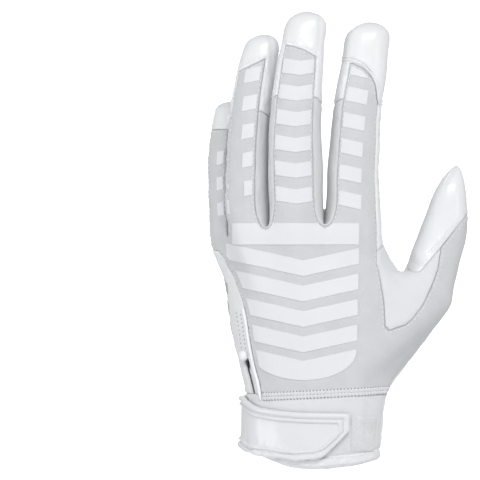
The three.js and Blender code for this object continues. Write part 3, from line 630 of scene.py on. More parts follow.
def shell(skin, outer, inner, inset, rim=((1.0, 0.0),)):
    """A closed body over the skin's triangles, between two heights above it.

    rim holds the steps from the outer edge to the inner one: (share of the thickness, how far the
    step stands out sideways).
    """
    used, local = np.unique(skin.tris, return_inverse=True)
    local = local.reshape(-1, 3)
    normals = skin.normals[used]
    edges = rim_of(local)
    points = skin.points[used]
    along = unit(points[edges[:, 1]] - points[edges[:, 0]])
    pulls = np.zeros((len(used), 3))
    for end in (0, 1):
        np.add.at(pulls, edges[:, end], unit(np.cross(normals[edges[:, end]], along)))
    meets = np.bincount(edges.ravel(), minlength=len(used))
    size = np.maximum((pulls ** 2).sum(1), SHARPEST * np.maximum(meets, 1))
    pulls *= (meets / size)[:, None]
    base = points + pulls * inset
    outer = np.broadcast_to(outer, len(skin.points))[used][:, None]
    inner = np.broadcast_to(inner, len(skin.points))[used][:, None]
    verts = [base + normals * outer]
    on_rim = np.flatnonzero(meets)
    rank = np.zeros(len(used), int)
    rank[on_rim] = np.arange(len(on_rim))
    count = len(used)
    faces = [local]
    above = edges
    first = count
    for share, out in rim[:-1]:
        height = outer + (inner - outer) * share
        ring = base + normals * height - pulls * out
        verts.append(ring[on_rim])
        below = first + rank[edges]
        faces += strip(above, below)
        above = below
        first += len(on_rim)
    out = rim[-1][1]
    verts.append(base + normals * inner - pulls * out * (meets > 0)[:, None])
    faces += strip(above, first + edges)
    faces.append(first + local[:, ::-1])
    return np.concatenate(verts), np.concatenate(faces)


def inside_all(edges, points):
    return np.min([edge(points) for edge in edges], axis=0)


def moulded(skin, edges, profile, underside):
    """A layer over what lies inside every edge: profile gives its height by distance from them."""
    part = only(skin)
    cut_region(part, True, edges, "layer")
    part = only(part, part.tags == "layer")
    for step, _ in profile[1:]:
        cut(part, True, inside_all(edges, part.points) - step, snap=PROFILE_SNAP)
    steps, heights = zip(*profile)
    height = np.interp(inside_all(edges, part.points), steps, heights)
    return shell(part, height, underside, 0)


def film(skin, shapes, thick, creases=()):
    """A thin film printed on the skin in the given shapes, each a list of edges.

    The creases are lines that shapes fold at: the skin is cut there first.
    """
    part = only(skin)
    for crease in creases:
        value = crease(part.points)
        cut(part, np.abs(value[part.tris]).max(1) < FILM_MARGIN, value, snap=CREASE_SNAP)
    for edges in shapes:
        near = inside_all(edges, centres(part)) > -FILM_MARGIN
        cut_region(part, (part.tags != "film") & near, edges, "film")
        part.tags = np.where(np.char.startswith(part.tags, "side_"), "plain", part.tags)
    part = only(part, part.tags == "film")
    drop = edge_drop(part)
    return shell(part, thick - drop, -FILM_SUNK - drop, 0, FILM_RIM)


def trace(skin, value):
    """The lines on the skin where value is 0, each an array of points and one of normals."""
    above = value > 0
    sides = above[skin.tris]
    links = {}
    for corners in skin.tris[sides.any(1) & ~sides.all(1)].tolist():
        one, other = (
            (min(a, b), max(a, b)) for a, b in zip(corners, corners[1:] + corners[:1])
            if above[a] != above[b])
        links.setdefault(one, []).append(other)
        links.setdefault(other, []).append(one)
    left = set(links)
    lines = []
    for start in sorted(links, key=lambda key: (len(links[key]), key)):
        line = []
        ahead = start if start in left else None
        while ahead is not None:
            left.discard(ahead)
            line.append(ahead)
            ahead = next((key for key in links[ahead] if key in left), None)
        if line:
            a, b = np.array(line).T
            share = (value[a] / (value[a] - value[b]))[:, None]
            lines.append((lerp(skin.points, a, b, share), unit(lerp(skin.normals, a, b, share))))
    return lines


def frames(lines, pitch):
    """For each line: even points, and the directions along it, across it and out of the skin.

    Lines with room for fewer than LEAST_POINTS are left out.
    """
    for points, normals in lines:
        for _ in range(LINE_SMOOTHING):
            middle = (points[:-2] + points[2:]) / 2
            points = np.concatenate([points[:1], (points[1:-1] + middle) / 2, points[-1:]])
        steps = np.linalg.norm(np.diff(points, axis=0), axis=1)
        length = np.concatenate([[0], np.cumsum(steps)])
        count = int(length[-1] / pitch)
        if count < LEAST_POINTS:
            continue
        at = (np.arange(count) + 0.5) * length[-1] / count
        points, normals = (
            np.stack([np.interp(at, length, values[:, i]) for i in range(3)], 1)
            for values in (points, normals))
        along = unit(np.gradient(points, axis=0))
        across = unit(np.cross(along, normals))
        yield points, along, across, np.cross(across, along)


def tube_faces(rings, sides):
    """Triangles of a closed tube, whose points are its rings in order and then its two tips."""
    i = np.arange(sides)
    k = (i + 1) % sides
    a = np.arange(rings - 1)[:, None] * sides
    b = a + sides
    tip, top = np.full(sides, rings * sides), (rings - 1) * sides
    walls = [np.stack([a + i, a + k, b + k], 2), np.stack([a + i, b + k, b + i], 2)]
    caps = [np.stack([tip, k, i], 1), np.stack([tip + 1, top + i, top + k], 1)]
    return np.concatenate([part.reshape(-1, 3) for part in walls + caps])


def joined(meshes):
    verts, faces, count = [], [], 0
    for mesh_verts, mesh_faces in meshes:
        verts.append(mesh_verts)
        faces.append(mesh_faces + count)
        count += len(mesh_verts)
    return np.concatenate(verts), np.concatenate(faces)


def stitches(lines, pitch, length, radius, lift, slant=0.0):
    """Short threads along the lines. slant in degrees turns every other one the other way."""
    around = np.arange(THREAD_SIDES) * math.tau / THREAD_SIDES
    ring = np.stack([np.zeros(THREAD_SIDES), np.cos(around), np.sin(around)], 1)
    rings = [ring * size + [x, 0, 0] for x, size in THREAD_RINGS]
    template = np.concatenate(rings + [[(-1, 0, 0), (1, 0, 0)]]) * [length / 2, radius, radius]
    faces = tube_faces(len(THREAD_RINGS), THREAD_SIDES)
    meshes = []
    for points, along, across, out in frames(lines, pitch):
        turn = math.radians(slant) * np.where(np.arange(len(points)) % 2, 1, -1)[:, None]
        first = along * np.cos(turn) + across * np.sin(turn)
        second = across * np.cos(turn) - along * np.sin(turn)
        verts = (points + out * lift)[:, None] + template @ np.stack([first, second, out], 1)
        starts = np.arange(len(points))[:, None, None] * len(template)
        meshes.append((verts.reshape(-1, 3), (starts + faces).reshape(-1, 3)))
    return joined(meshes)


def cords(lines, radius, lift):
    """Round beads along the lines, their ends closed in a point."""
    around = (np.arange(CORD_SIDES) * math.tau / CORD_SIDES)[:, None]
    meshes = []
    for points, _, across, out in frames(lines, CORD_PITCH):
        steps = len(points)
        to_end = np.minimum(np.arange(steps), np.arange(steps)[::-1])
        size = radius * np.sqrt(np.minimum((to_end + CORD_TIP) / CORD_TAPER, 1))[:, None, None]
        rings = (points + out * lift)[:, None] + size * (
            across[:, None] * np.cos(around) + out[:, None] * np.sin(around))
        verts = [rings.reshape(-1, 3), [rings[0].mean(0), rings[-1].mean(0)]]
        meshes.append((np.concatenate(verts), tube_faces(steps, CORD_SIDES)[:, ::-1]))
    return joined(meshes)


def linked(name, data):
    obj = bpy.data.objects.new(name, data)
    bpy.context.scene.collection.objects.link(obj)
    return obj


def make_object(name, mesh_data, look, sharp=50):
    """A piece of the glove. Its slot has its look's name."""
    verts, faces = mesh_data
    mesh = bpy.data.meshes.new(name)
    mesh.from_pydata((verts * MM).tolist(), [], faces.tolist())
    mesh.polygons.foreach_set("use_smooth", np.ones(len(faces), bool))
    mesh.set_sharp_from_angle(angle=math.radians(sharp))
    mesh.materials.append(MATERIALS[look])
    mesh.validate()
    obj = linked(name, mesh)
    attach(obj, "root")
    return obj


# Materials

PATCH_TONE = 0.975
LOOP_SHADE, LIGHT_SHARE, BRIGHTEST = -0.55, 0.6, 0.95


def material_of(name, colour, roughness, **sockets):
    material = bpy.data.materials.new(name)
    material.use_nodes = True
    shader = material.node_tree.nodes["Principled BSDF"]
    shader.inputs["Base Color"].default_value = (*colour, 1)
    shader.inputs["Roughness"].default_value = roughness
    for socket, value in sockets.items():
        shader.inputs[socket.replace("_", " ")].default_value = value
    return material


def texture(tree, kind, size, stretch=(1, 1, 1), **settings):
    """A procedural texture whose cells are size millimetres, times stretch on each axis."""
    place = tree.nodes.new("ShaderNodeTexCoord")
    mapping = tree.nodes.new("ShaderNodeMapping")
    mapping.inputs["Scale"].default_value = [1 / (size * s * MM) for s in stretch]
    tree.links.new(place.outputs["Object"], mapping.inputs["Vector"])
    node = tree.nodes.new(f"ShaderNodeTex{kind}")
    for name, value in settings.items():
        setattr(node, name, value)
    node.inputs["Scale"].default_value = 1
    tree.links.new(mapping.outputs["Vector"], node.inputs["Vector"])
    return node


def add_bump(material, height, strength, depth):
    """A bump of the given depth in millimetres, on top of those already there."""
    tree = material.node_tree
    shader = tree.nodes["Principled BSDF"]
    bump = tree.nodes.new("ShaderNodeBump")
    bump.inputs["Strength"].default_value = strength
    bump.inputs["Distance"].default_value = depth * MM
    tree.links.new(height, bump.inputs["Height"])
    for link in shader.inputs["Normal"].links:
        tree.links.new(link.from_socket, bump.inputs["Normal"])
    tree.links.new(bump.outputs["Normal"], shader.inputs["Normal"])


def tint(material, amount, dark, light, share=1.0):
    """Colours the surface between two tones by a texture's value."""
    tree = material.node_tree
    ramp = tree.nodes.new("ShaderNodeValToRGB")
    ends = ((0.5 - share / 2, dark), (0.5 + share / 2, light))
    for element, (position, tone) in zip(ramp.color_ramp.elements, ends):
        element.position = position
        element.color = (*tone, 1)
    tree.links.new(amount, ramp.inputs["Fac"])
    tree.links.new(ramp.outputs["Color"], tree.nodes["Principled BSDF"].inputs["Base Color"])


def silicone(name, tone, roughness, grain, coat):
    """White silicone over cloth: soft gloss, with the faintest grain."""
    material = material_of(
        name, tone, roughness, Coat_Weight=coat, Coat_Roughness=0.12, IOR=1.45)
    tree = material.node_tree
    patches = texture(tree, "Noise", size=22)
    tint(material, patches.outputs["Fac"], [c * PATCH_TONE for c in tone], tone, share=0.5)
    fine = texture(tree, "Noise", size=grain)
    waves = texture(tree, "Noise", size=5, stretch=(1, 1, 2))
    add_bump(material, waves.outputs["Fac"], strength=0.3, depth=0.5)
    add_bump(material, fine.outputs["Fac"], strength=0.18, depth=0.06)
    return material


def knit(name, tone, cell, stretch, contrast, depth, sheen):
    """Knitted cloth: rows of small loops with a mottled tone."""
    material = material_of(name, tone, 0.8, Sheen_Weight=sheen, Sheen_Roughness=0.5)
    tree = material.node_tree
    loops = texture(tree, "Voronoi", cell, stretch, feature="SMOOTH_F1")
    patches = texture(tree, "Noise", size=7)
    mix = tree.nodes.new("ShaderNodeMath")
    mix.operation = "MULTIPLY_ADD"
    mix.inputs[1].default_value = LOOP_SHADE
    tree.links.new(loops.outputs["Distance"], mix.inputs[0])
    tree.links.new(patches.outputs["Fac"], mix.inputs[2])
    dark = [c * (1 - contrast) for c in tone]
    light = [min(BRIGHTEST, c * (1 + contrast * LIGHT_SHARE)) for c in tone]
    tint(material, mix.outputs["Value"], dark, light, share=0.9)
    add_bump(material, loops.outputs["Distance"], strength=0.45, depth=depth)
    return material


def plain(name, tone, roughness, sheen):
    return material_of(name, tone, roughness, Sheen_Weight=sheen)


# Silicone: tone, roughness, size of the grain, clear coat. Knit: tone, size of a loop, its
# stretch on each axis, contrast, depth, sheen. Plain: tone, roughness, sheen.
LOOKS = [
    (silicone, "grip_silicone", (0.78, 0.79, 0.805), 0.34, 0.5, 0.3),
    (silicone, "print_film", (0.73, 0.74, 0.76), 0.52, 0.7, 0.0),
    (knit, "back_knit", (0.6, 0.61, 0.625), 0.75, (1, 1, 0.7), 0.07, 0.12, 0.1),
    (knit, "side_cloth", (0.76, 0.77, 0.785), 0.9, (1, 1, 1), 0.05, 0.12, 0.1),
    (silicone, "side_bars", (0.42, 0.43, 0.44), 0.5, 0.7, 0.2),
    (knit, "gusset_cloth", (0.7, 0.71, 0.73), 0.45, (1, 1, 1), 0.02, 0.05, 0.15),
    # The fourchettes' grey is partly the cloth's own light grey and partly painted shade: it is
    # darkened to stand for the shade in the gaps between the fingers.
    (knit, "web_cloth", (0.64, 0.65, 0.66), 0.6, (1, 1, 0.8), 0.04, 0.08, 0.1),
    (knit, "cuff_cloth", (0.71, 0.72, 0.735), 0.5, (0.8, 0.8, 2.2), 0.04, 0.08, 0.1),
    (knit, "binding", (0.79, 0.8, 0.815), 0.5, (1.4, 1.4, 0.6), 0.04, 0.08, 0.1),
    (silicone, "strap_rubber", (0.74, 0.75, 0.77), 0.34, 0.35, 0.25),
    (knit, "loop_pile", (0.73, 0.74, 0.755), 0.9, (1, 1, 1), 0.14, 0.4, 0.3),
    (silicone, "piping", (0.86, 0.87, 0.885), 0.45, 0.4, 0.2),
    (plain, "thread", (0.77, 0.78, 0.795), 0.6, 0.2),
    # The small holes' dark grey is painted shade: it stands for the shade inside the holes in the
    # cloth.
    (plain, "eyelet", (0.3, 0.305, 0.31), 0.9, 0.0),
]
MATERIALS = {name: make(name, *values) for make, name, *values in LOOKS}

# Folds of the worn cloth, as grooves seen square to the layout plane: the side of the hand that
# they are on (-1 the back, 1 the palm), depth, width, points
FOLDS = [
    (1, 0.6, 3.0, [(30, 96), (20, 86), (14, 72), (15, 58), (22, 46)]),
    (1, 0.3, 2.6, [(16, 106), (6, 99), (-6, 95), (-20, 94)]),
    (1, 0.5, 1.7, [(-38, 93), (-28, 94.5), (-20, 94)]),
    (1, 0.5, 2.0, [(-22, 32), (-8, 26), (6, 24.5), (20, 28), (28, 35)]),
    (1, 0.4, 1.6, [(-50, 111), (-36, 112)]),
    (1, 0.4, 1.6, [(-38, 118), (-21, 117)]),
    (1, 0.4, 1.6, [(-18, 120), (4, 119)]),
    (1, 0.4, 1.6, [(8, 119), (32, 116)]),
    (-1, 0.5, 1.5, [(44, 91), (39, 86), (36, 79)]),
    (-1, 0.4, 1.4, [(44, 90), (42, 83)]),
    (-1, 0.5, 1.6, [(-43, 96), (-37, 93), (-35, 92)]),
    (-1, 0.45, 1.5, [(-33, 53), (-37, 57), (-40, 60)]),
    (-1, 0.45, 1.5, [(-33, 51), (-36, 50), (-40, 51)]),
    (-1, 0.4, 1.6, [(25, 8), (24.5, 20), (27, 32)]),
    (-1, 0.3, 1.8, [(20.5, 8), (20, 18), (21.5, 30)]),
    (-1, 0.3, 2.0, [(63, 118), (58, 108), (55, 98)]),
    (-1, 0.5, 1.2, [(36.5, 89.5), (40, 88), (43.2, 84.6)]),
    (-1, 0.5, 0.8, [(2.9, 212), (3.9, 208.6), (3.7, 201.4), (2.6, 194.3), (1.7, 190)]),
    (-1, 0.5, 0.8, [(-21.4, 202.5), (-19.4, 199.3), (-18.6, 192.3), (-19.2, 184)]),
    (-1, 0.5, 0.8, [(18.9, 205.7), (16.4, 202.5), (15.2, 196.6), (14.7, 190)]),
]


def press(skin, lift):
    """Moves the skin's points outwards by lift."""
    skin.points = skin.points + skin.normals * lift[:, None]
    skin.normals = point_normals(skin.points, skin.tris)


def fold(skin):
    """Presses the folds into the skin."""
    x, z = layout_x(skin.points), skin.points[:, 2]
    facing = depth_of(skin.normals)
    lift = np.zeros(len(x))
    for side, depth, width, line in FOLDS:
        away = line_distance(line, x, z)
        lift -= depth * np.exp(-(away / width) ** 2) * np.clip(facing * side * 2, 0, 1)
    press(skin, lift)


def wander(skin, length):
    return np.array([noise.noise(Vector(p / length)) for p in skin.points])


def ripple(skin):
    """Lets the cloth wander a little, and pucker along its seams."""
    near_seam = np.exp(-((skin.fields["seam"] - PUCKER_AWAY) / PUCKER_REACH) ** 2)
    pucker = wander(skin, PUCKER_LENGTH) * PUCKER * near_seam
    press(skin, wander(skin, RIPPLE_LENGTH) * RIPPLE + pucker)


def seam_distance(skin):
    """Distance of every point to the nearest seam."""
    rims = [rim_of(skin.tris[skin.tags == tag]) for tag in np.unique(skin.tags)]
    a, b = np.concatenate(rims).T
    spots = np.concatenate([
        lerp(skin.points, a, b, k / SEAM_SAMPLES) for k in range(SEAM_SAMPLES + 1)
    ])
    tree = kdtree.KDTree(len(spots))
    for i, spot in enumerate(spots):
        tree.insert(spot, i)
    tree.balance()
    return np.array([tree.find(p)[2] for p in skin.points])


# How sharp a corner a shell's side walls may still follow, and the gap between panels
SHARPEST = 0.8
PANEL_GAP = 0.08
SEAM_STEPS, SEAM_SAMPLES, SEAM_SNAP = (0.45, 1.2), 6, 0.08
EDGE_DROP, EDGE_REACH = 0.6, 1.4
RIPPLE, RIPPLE_LENGTH = 0.35, 11
PUCKER, PUCKER_LENGTH, PUCKER_AWAY, PUCKER_REACH = 0.5, 2.6, 2.2, 1.8
FILM_MARGIN, FILM_SUNK = 4, 0.05
FILM_RIM = ((0.45, 0.1), (1.0, 0.2))
CREASE_SNAP, PROFILE_SNAP, FIELD_SNAP = 0.02, 0.04, 0.05
LINE_SMOOTHING, LEAST_POINTS = 2, 3
THREAD_SIDES = 6
THREAD_RINGS = ((-0.7, 0.75), (0, 1), (0.7, 0.75))
CORD_SIDES, CORD_PITCH, CORD_TIP, CORD_TAPER = 8, 1.2, 0.3, 1.5


def edge_drop(skin):
    """How far a panel's face sinks towards its seams."""
    return EDGE_DROP * np.clip(1 - skin.fields["seam"] / EDGE_REACH, 0, 1) ** 2


skin = build_skin()
fold(skin)
lay_out_panels(skin)
skin.fields["seam"] = seam_distance(skin)
ripple(skin)
for step in SEAM_STEPS:
    cut(skin, True, skin.fields["seam"] - step, snap=SEAM_SNAP)
middles = centres(skin)
ANY = math.inf


def region(*tags, low=-ANY, high=ANY, left=-ANY, before=ANY, where=True):
    """A copy of some panels' triangles: between two heights, past left, and before a depth."""
    x, y, z = layout_x(middles), middles[:, 1], middles[:, 2]
    return only(skin, np.isin(skin.tags, tags) & (z > low) & (z < high) & (x > left) & (
        y < before) & where)


FRONTS = [f"{name}_front" for name in (*FINGERS, "thumb")]
PALM_LIFT = 0.15
HEM_LIFT, HEM_WALL = 0.4, 2.4
HEM_RIM = ((0.12, 0.35), (0.35, 0.75), (0.65, 0.75), (0.88, 0.35), (1.0, 0.0))
# Piece, tag, height of its face above the skin, wall, slot, CAD nodes that it stands for
PANELS = [
    ("palm", "palm", PALM_LIFT, 1.5, "grip_silicone", ["palm_panel"] + FRONTS),
    ("back", "back", 0, 1.3, "back_knit", ["back_panel"]),
    ("side", "side", 0, 1.3, "side_cloth", ["side_panel"]),
    ("thumb_web", "gusset", 0, 1.3, "gusset_cloth", ["thumb_gusset"]),
    ("web_ring_pinky", "web0", 0, 1.0, "web_cloth", ["fourchette_ring_pinky"]),
    ("web_middle_ring", "web1", 0, 1.0, "web_cloth", ["fourchette_middle_ring"]),
    ("web_index_middle", "web2", 0, 1.0, "web_cloth", ["fourchette_index_middle"]),
    ("cuff_cloth", "cuff", 0, 1.6, "cuff_cloth", ["cuff"]),
]
for piece, tag, lift, wall, slot, nodes in PANELS:
    part = region(tag)
    mesh = shell(part, lift - edge_drop(part), lift - wall, PANEL_GAP)
    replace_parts(make_object(piece, mesh, slot), *nodes)

# The hem, folded round the wrist's edge
hem = region("hem")
hem_mesh = shell(hem, HEM_LIFT - edge_drop(hem), HEM_LIFT - HEM_WALL, PANEL_GAP, HEM_RIM)
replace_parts(make_object("hem", hem_mesh, "binding", sharp=80), "hem_binding")

# The strap and its patch, by degrees round the wrist: [degrees, height]
STRAP_FROM, STRAP_TO, STRAP_HIGHEST, STRAP_PALM_END = -40, 120, 45, 17
STRAP_TOP = [(-40, 25.4), (0, 25.8), (20, 26.5), (40, 27.8), (55, 30), (75, 33), (120, 33.2)]
STRAP_BOTTOM = [
    (-40, 17.2), (-17, 4.9), (-10, 3.8), (5, 3.1), (20, 3.9), (40, 5), (55, 6), (75, 8.6), (120, 9.4),
]
STRAP_LIFT = 0.75
# Height above the skin by distance from the strap's edge: a raised rim of two ridges
STRAP_PROFILE = [
    (0, 1.7), (0.2, 2.4), (0.6, 2.9), (1.2, 3.1), (1.9, 3.05), (2.4, 2.7), (2.7, 2.2), (3.1, 2.15),
    (3.4, 2.6), (3.8, 2.9), (4.3, 2.85), (4.7, 2.3), (5.0, 1.95), (6.0, 1.9),
]
PATCH_FROM, PATCH_TO, PATCH_BOTTOM, PATCH_TOP = -74, -42, 7.5, 24
PATCH_LIFT, PATCH_PROFILE = 0.05, [(0, 0.2), (0.7, 0.45), (1.6, 0.6)]
MM_PER_DEGREE = 0.47


def degrees_round(p):
    angle = np.degrees(np.arctan2(
        p[:, 1] / WRIST_HALF_DEEP, (p[:, 0] - WRIST_MIDDLE) / WRIST_HALF_WIDE))
    turned_by = -90 - angle
    return np.where(turned_by < -180, turned_by + 360, turned_by)


def round_edges(first, last):
    """The two ends of a strip round the wrist, in degrees."""
    return [
        lambda p: (degrees_round(p) - first) * MM_PER_DEGREE,
        lambda p: (last - degrees_round(p)) * MM_PER_DEGREE,
    ]


near_wrist = (middles[:, 2] < STRAP_HIGHEST) & (skin.tags != "palm") & (
    (skin.tags != "hem") | (middles[:, 1] < STRAP_PALM_END))
strap_mesh = moulded(only(skin, near_wrist), round_edges(STRAP_FROM, STRAP_TO) + [
    lambda p: line_height(STRAP_TOP, degrees_round(p)) - p[:, 2],
    lambda p: p[:, 2] - line_height(STRAP_BOTTOM, degrees_round(p)),
], STRAP_PROFILE, STRAP_LIFT)
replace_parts(make_object("strap_band", strap_mesh, "strap_rubber", sharp=35), "strap")
patch_mesh = moulded(region("cuff"), round_edges(PATCH_FROM, PATCH_TO) + [
    under(height_of, PATCH_TOP), over(height_of, PATCH_BOTTOM),
], PATCH_PROFILE, PATCH_LIFT)
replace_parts(make_object("patch", patch_mesh, "loop_pile"), "loop_patch")

# Piping along the side seam, and the bead that ends the vent
PIPING_FROM, PIPING_TO, PIPING_RADIUS, PIPING_LIFT = 30, 75, 0.75, 0.45
beside_seam = (middles[:, 1] < 0) & (middles[:, 2] > PIPING_FROM) & (middles[:, 2] < PIPING_TO)
near_seam = only(skin, beside_seam)
piping_mesh = cords(
    trace(near_seam, from_side_seam(near_seam.points)), PIPING_RADIUS, PIPING_LIFT)
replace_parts(make_object("piping", piping_mesh, "piping"), "vent_piping")

BEAD_ACROSS, BEAD_HEIGHT, BEAD_LIFT = -31.2, 51.7, 0.9
BEAD_SIZE = (2.7, 2.2, 2.5)
BEAD_ROWS, BEAD_SIDES = 14, 20
WAIST_DEPTH, WAIST_REACH = 0.12, 0.3
# The back of the hand lies before this depth, near its little edge
BACK_UNTIL = 5


def vent_bead():
    """A rounded bead lying on the skin, waisted where the vent's edges are sewn in."""
    front = only(skin, skin.normals[skin.tris].mean(1)[:, 1] < 0)
    p = front.points
    away = np.hypot(layout_x(p) - BEAD_ACROSS, p[:, 2] - BEAD_HEIGHT)
    nearest = np.where(p[:, 1] > BACK_UNTIL, np.inf, away).argmin()
    out = front.normals[nearest]
    seat = p[nearest] + out * BEAD_LIFT
    up = unit(np.cross(np.cross(out, [0, 0, 1.0]), out))
    side = np.cross(up, out)
    wide, deep, tall = BEAD_SIZE
    lat = math.pi * np.arange(1, BEAD_ROWS)[:, None, None] / BEAD_ROWS
    lon = math.tau * np.arange(BEAD_SIDES)[:, None] / BEAD_SIDES
    waist = 1 - WAIST_DEPTH * np.exp(-((lat - math.pi / 2) / WAIST_REACH) ** 2)
    rings = seat - up * np.cos(lat) * tall + np.sin(lat) * waist * (
        side * np.cos(lon) * wide + out * np.sin(lon) * deep)
    verts = np.concatenate([rings.reshape(-1, 3), [seat - up * tall, seat + up * tall]])
    return verts, tube_faces(BEAD_ROWS - 1, BEAD_SIDES)


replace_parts(make_object("stay", vent_bead(), "piping", sharp=80), "vent_stay")

# Cloth that lies behind the vent's slot
FLAP_FROM, FLAP_TO, FLAP_HALF_WIDE, FLAP_UNDERSIDE = 30, 48, 4.5, -5
FLAP_PROFILE = [(0, -4.2), (1.5, -3.4), (3.0, -2.2), (4.2, -1.7)]
flap_mesh = moulded(region("side", "vent", "cuff", "back", before=BACK_UNTIL), [
    under(height_of, FLAP_TO), over(height_of, FLAP_FROM),
    under(from_vent, FLAP_HALF_WIDE), over(from_vent, -FLAP_HALF_WIDE),
], FLAP_PROFILE, FLAP_UNDERSIDE)
make_object("vent_flap", flap_mesh, "side_cloth")


# Raised film on the back: a generic motif of bars and chevrons

def finger_across(name):
    """Distance from a finger's middle line, on the layout plane."""
    rows = FINGERS[name][1]
    heights = [row[0] for row in rows]
    middle = [row[1] * TURN_COS + row[2] * TURN_SIN for row in rows]
    return lambda p: layout_x(p) - np.interp(p[:, 2], heights, middle)


def bar(across, height, half, slope, left, right, bend=0.0, middle=0.0):
    """A bar's edges: slope tilts it, and bend folds it at its middle into a chevron."""
    def above(p):
        away = across(p) - middle
        return p[:, 2] - height - slope * away - bend * np.abs(away)

    return [under(above, half), over(above, -half), over(across, left), under(across, right)]


def bars(across, count, height, rise, half, slope, left, right, bend=0.0, middle=0.0,
         left_step=0.0, right_step=0.0):
    """Like bars one above another. The steps move their ends from one to the next."""
    return [
        bar(across, height + rise * k, half, slope, left + left_step * k, right + right_step * k,
            bend, middle)
        for k in range(count)
    ]


HAND_MIDDLE = -4
PRINT_RIGHT, PRINT_MARGIN = 21.8, 2.7
CHEVRON_BEND = 0.22
PLATE_TOP, PLATE_MIDDLE, PLATE_RADIUS, PLATE_FLATNESS = 49.5, 54, 24.5, 1.85
KNUCKLE_BAR = (108.6, 4.9, 0, -37, PRINT_RIGHT)
# Bars: how many, height, rise, half width, slope, left, right, and what else bars() takes
CHEVRONS = (4, 92.6, -11.8, 3.6, 0, -40, PRINT_RIGHT, CHEVRON_BEND, HAND_MIDDLE, 0, -0.3)
SIDE_BARS = [(6, 97, 9.5, 2.4, 0.5, -12, 40), (6, 32, 9.5, 2.4, 0.3, 11, 50)]
FINGER_BARS = {
    "middle": (6, 126, 12, 3.3, 0, -14, 14, 0.16),
    "index": (6, 125, 12.2, 3.3, -0.22, -14, 3.6, 0, -4),
    "ring": (5, 130, 13.4, 3.4, 0.2, -1.5, 11, 0, 0, -0.9),
    "pinky": (3, 121, 12, 3.1, 0.2, -4.5, 1),
}


def hand_motif():
    """A bar across the knuckles, four chevrons and a rounded plate."""
    shapes = [bar(layout_x, *KNUCKLE_BAR), *bars(layout_x, *CHEVRONS)]
    shapes.append([
        lambda p: PLATE_TOP + CHEVRON_BEND * np.abs(layout_x(p) - HAND_MIDDLE) - p[:, 2],
        lambda p: PLATE_RADIUS - np.hypot(
            layout_x(p) - HAND_MIDDLE, (p[:, 2] - PLATE_MIDDLE) * PLATE_FLATNESS),
    ])
    return [edges + [over(from_side_seam, PRINT_MARGIN)] for edges in shapes]


def finger_motif():
    return [
        edges for name, row in FINGER_BARS.items() for edges in bars(finger_across(name), *row)
    ]


def within_seams(tag, margin):
    """The part of a panel that is further than margin from its seams."""
    part = region(tag)
    cut(part, True, part.fields["seam"] - margin, "plain", snap=FIELD_SNAP)
    return only(part, part.tags == "plain")


BACK_FILM, SIDE_FILM = 0.4, 0.2
film_mesh = film(
    within_seams("back", 1.5), hand_motif() + finger_motif(), BACK_FILM,
    [over(layout_x, HAND_MIDDLE), finger_across("middle")])
make_object("back_film", film_mesh, "print_film", sharp=30)

side_shapes = [edges for row in SIDE_BARS for edges in bars(depth_of, *row)]
side_mesh = film(within_seams("side", 2.2), side_shapes, SIDE_FILM)
make_object("side_film", side_mesh, "side_bars", sharp=30)

# The flat band that covers the wrist seam, rising towards the thumb
from_wrist_line = above_line([(-26, 32.6), (34, 35.9)])
BAND_HALF, BAND_HEIGHT, BAND_UNDERSIDE = 2.0, 0.25, -0.2
wrist = region("back", "cuff", low=26, high=42, left=-23, before=8)
band_mesh = moulded(wrist, [
    under(from_wrist_line, BAND_HALF), over(from_wrist_line, -BAND_HALF),
], [(0, 0.02), (0.6, BAND_HEIGHT)], BAND_UNDERSIDE)
make_object("wrist_band", band_mesh, "cuff_cloth")


def lines_at(part, measure, offsets):
    """The lines on a part where a measure has each of the given values."""
    return [line for offset in offsets for line in trace(part, measure(part.points) - offset)]


# Rows of sewing beside the seams: tag, distance, length, radius and height of a stitch, and the
# lowest height where the row runs
STITCH_PITCH = 2.3
SEWING = [
    ("palm", 1.7, 1.7, 0.2, PALM_LIFT, -ANY),
    ("back", 1.1, 1.5, 0.17, 0.0, 60),
    ("gusset", 1.4, 1.5, 0.17, 0.0, -ANY),
    ("hem", 0.8, 1.7, 0.2, HEM_LIFT, -ANY),
    ("side", 1.5, 1.5, 0.17, 0.0, -ANY),
]
# Pitch, length, radius, height and slant of a stitch in the other rows, and of the small holes
THUMB_ROW = (STITCH_PITCH, 1.7, 0.2, PALM_LIFT)
ZIGZAG = (0.8, 2.2, 0.25, BAND_HEIGHT + 0.1, 50)
EYELETS = (1.9, 0.9, 0.33, -0.1)
BAND_HOLES = (1.6, 0.9, 0.36, BAND_HEIGHT - 0.2)
rows = []
for tag, distance, length, radius, lift, lowest in SEWING:
    part = region(tag, low=lowest)
    lines = trace(part, part.fields["seam"] - distance)
    rows.append(stitches(lines, STITCH_PITCH, length, radius, lift))
thumb = region("palm", low=88, left=44)
rows.append(stitches(lines_at(thumb, above_line(THUMB_SEAM), [4.2]), *THUMB_ROW))
rows.append(stitches(lines_at(wrist, from_wrist_line, [-0.85, 0.85]), *ZIGZAG))
make_object("stitching", joined(rows), "thread", sharp=80)

# Small holes beside the side seam and along the wrist band: dark beads sunk into the cloth, whose dark
# grey is painted shade inside the holes
column = region("side", low=54, high=73, before=BACK_UNTIL)
hole_shade_dots = stitches(lines_at(column, from_side_seam, [-2.2, -4.1]), *EYELETS)
make_object("hole_shade_dots", hole_shade_dots, "eyelet", sharp=80)
holes = stitches(lines_at(wrist, from_wrist_line, [-1.7, 0, 1.7]), *BAND_HOLES)
make_object("band_holes", holes, "eyelet", sharp=80)

# Moulded ridges above the lower edge of the index finger's cap
RAISED = PALM_LIFT + 0.05
tip = region("palm", low=165, left=10, where=depth_of(middles) < 9)
ridges = lines_at(tip, above_line(CAP_LINES["index"]), [1.3, 2.8])
make_object("cap_ridges", cords(ridges, 0.45, RAISED), "grip_silicone", sharp=80)

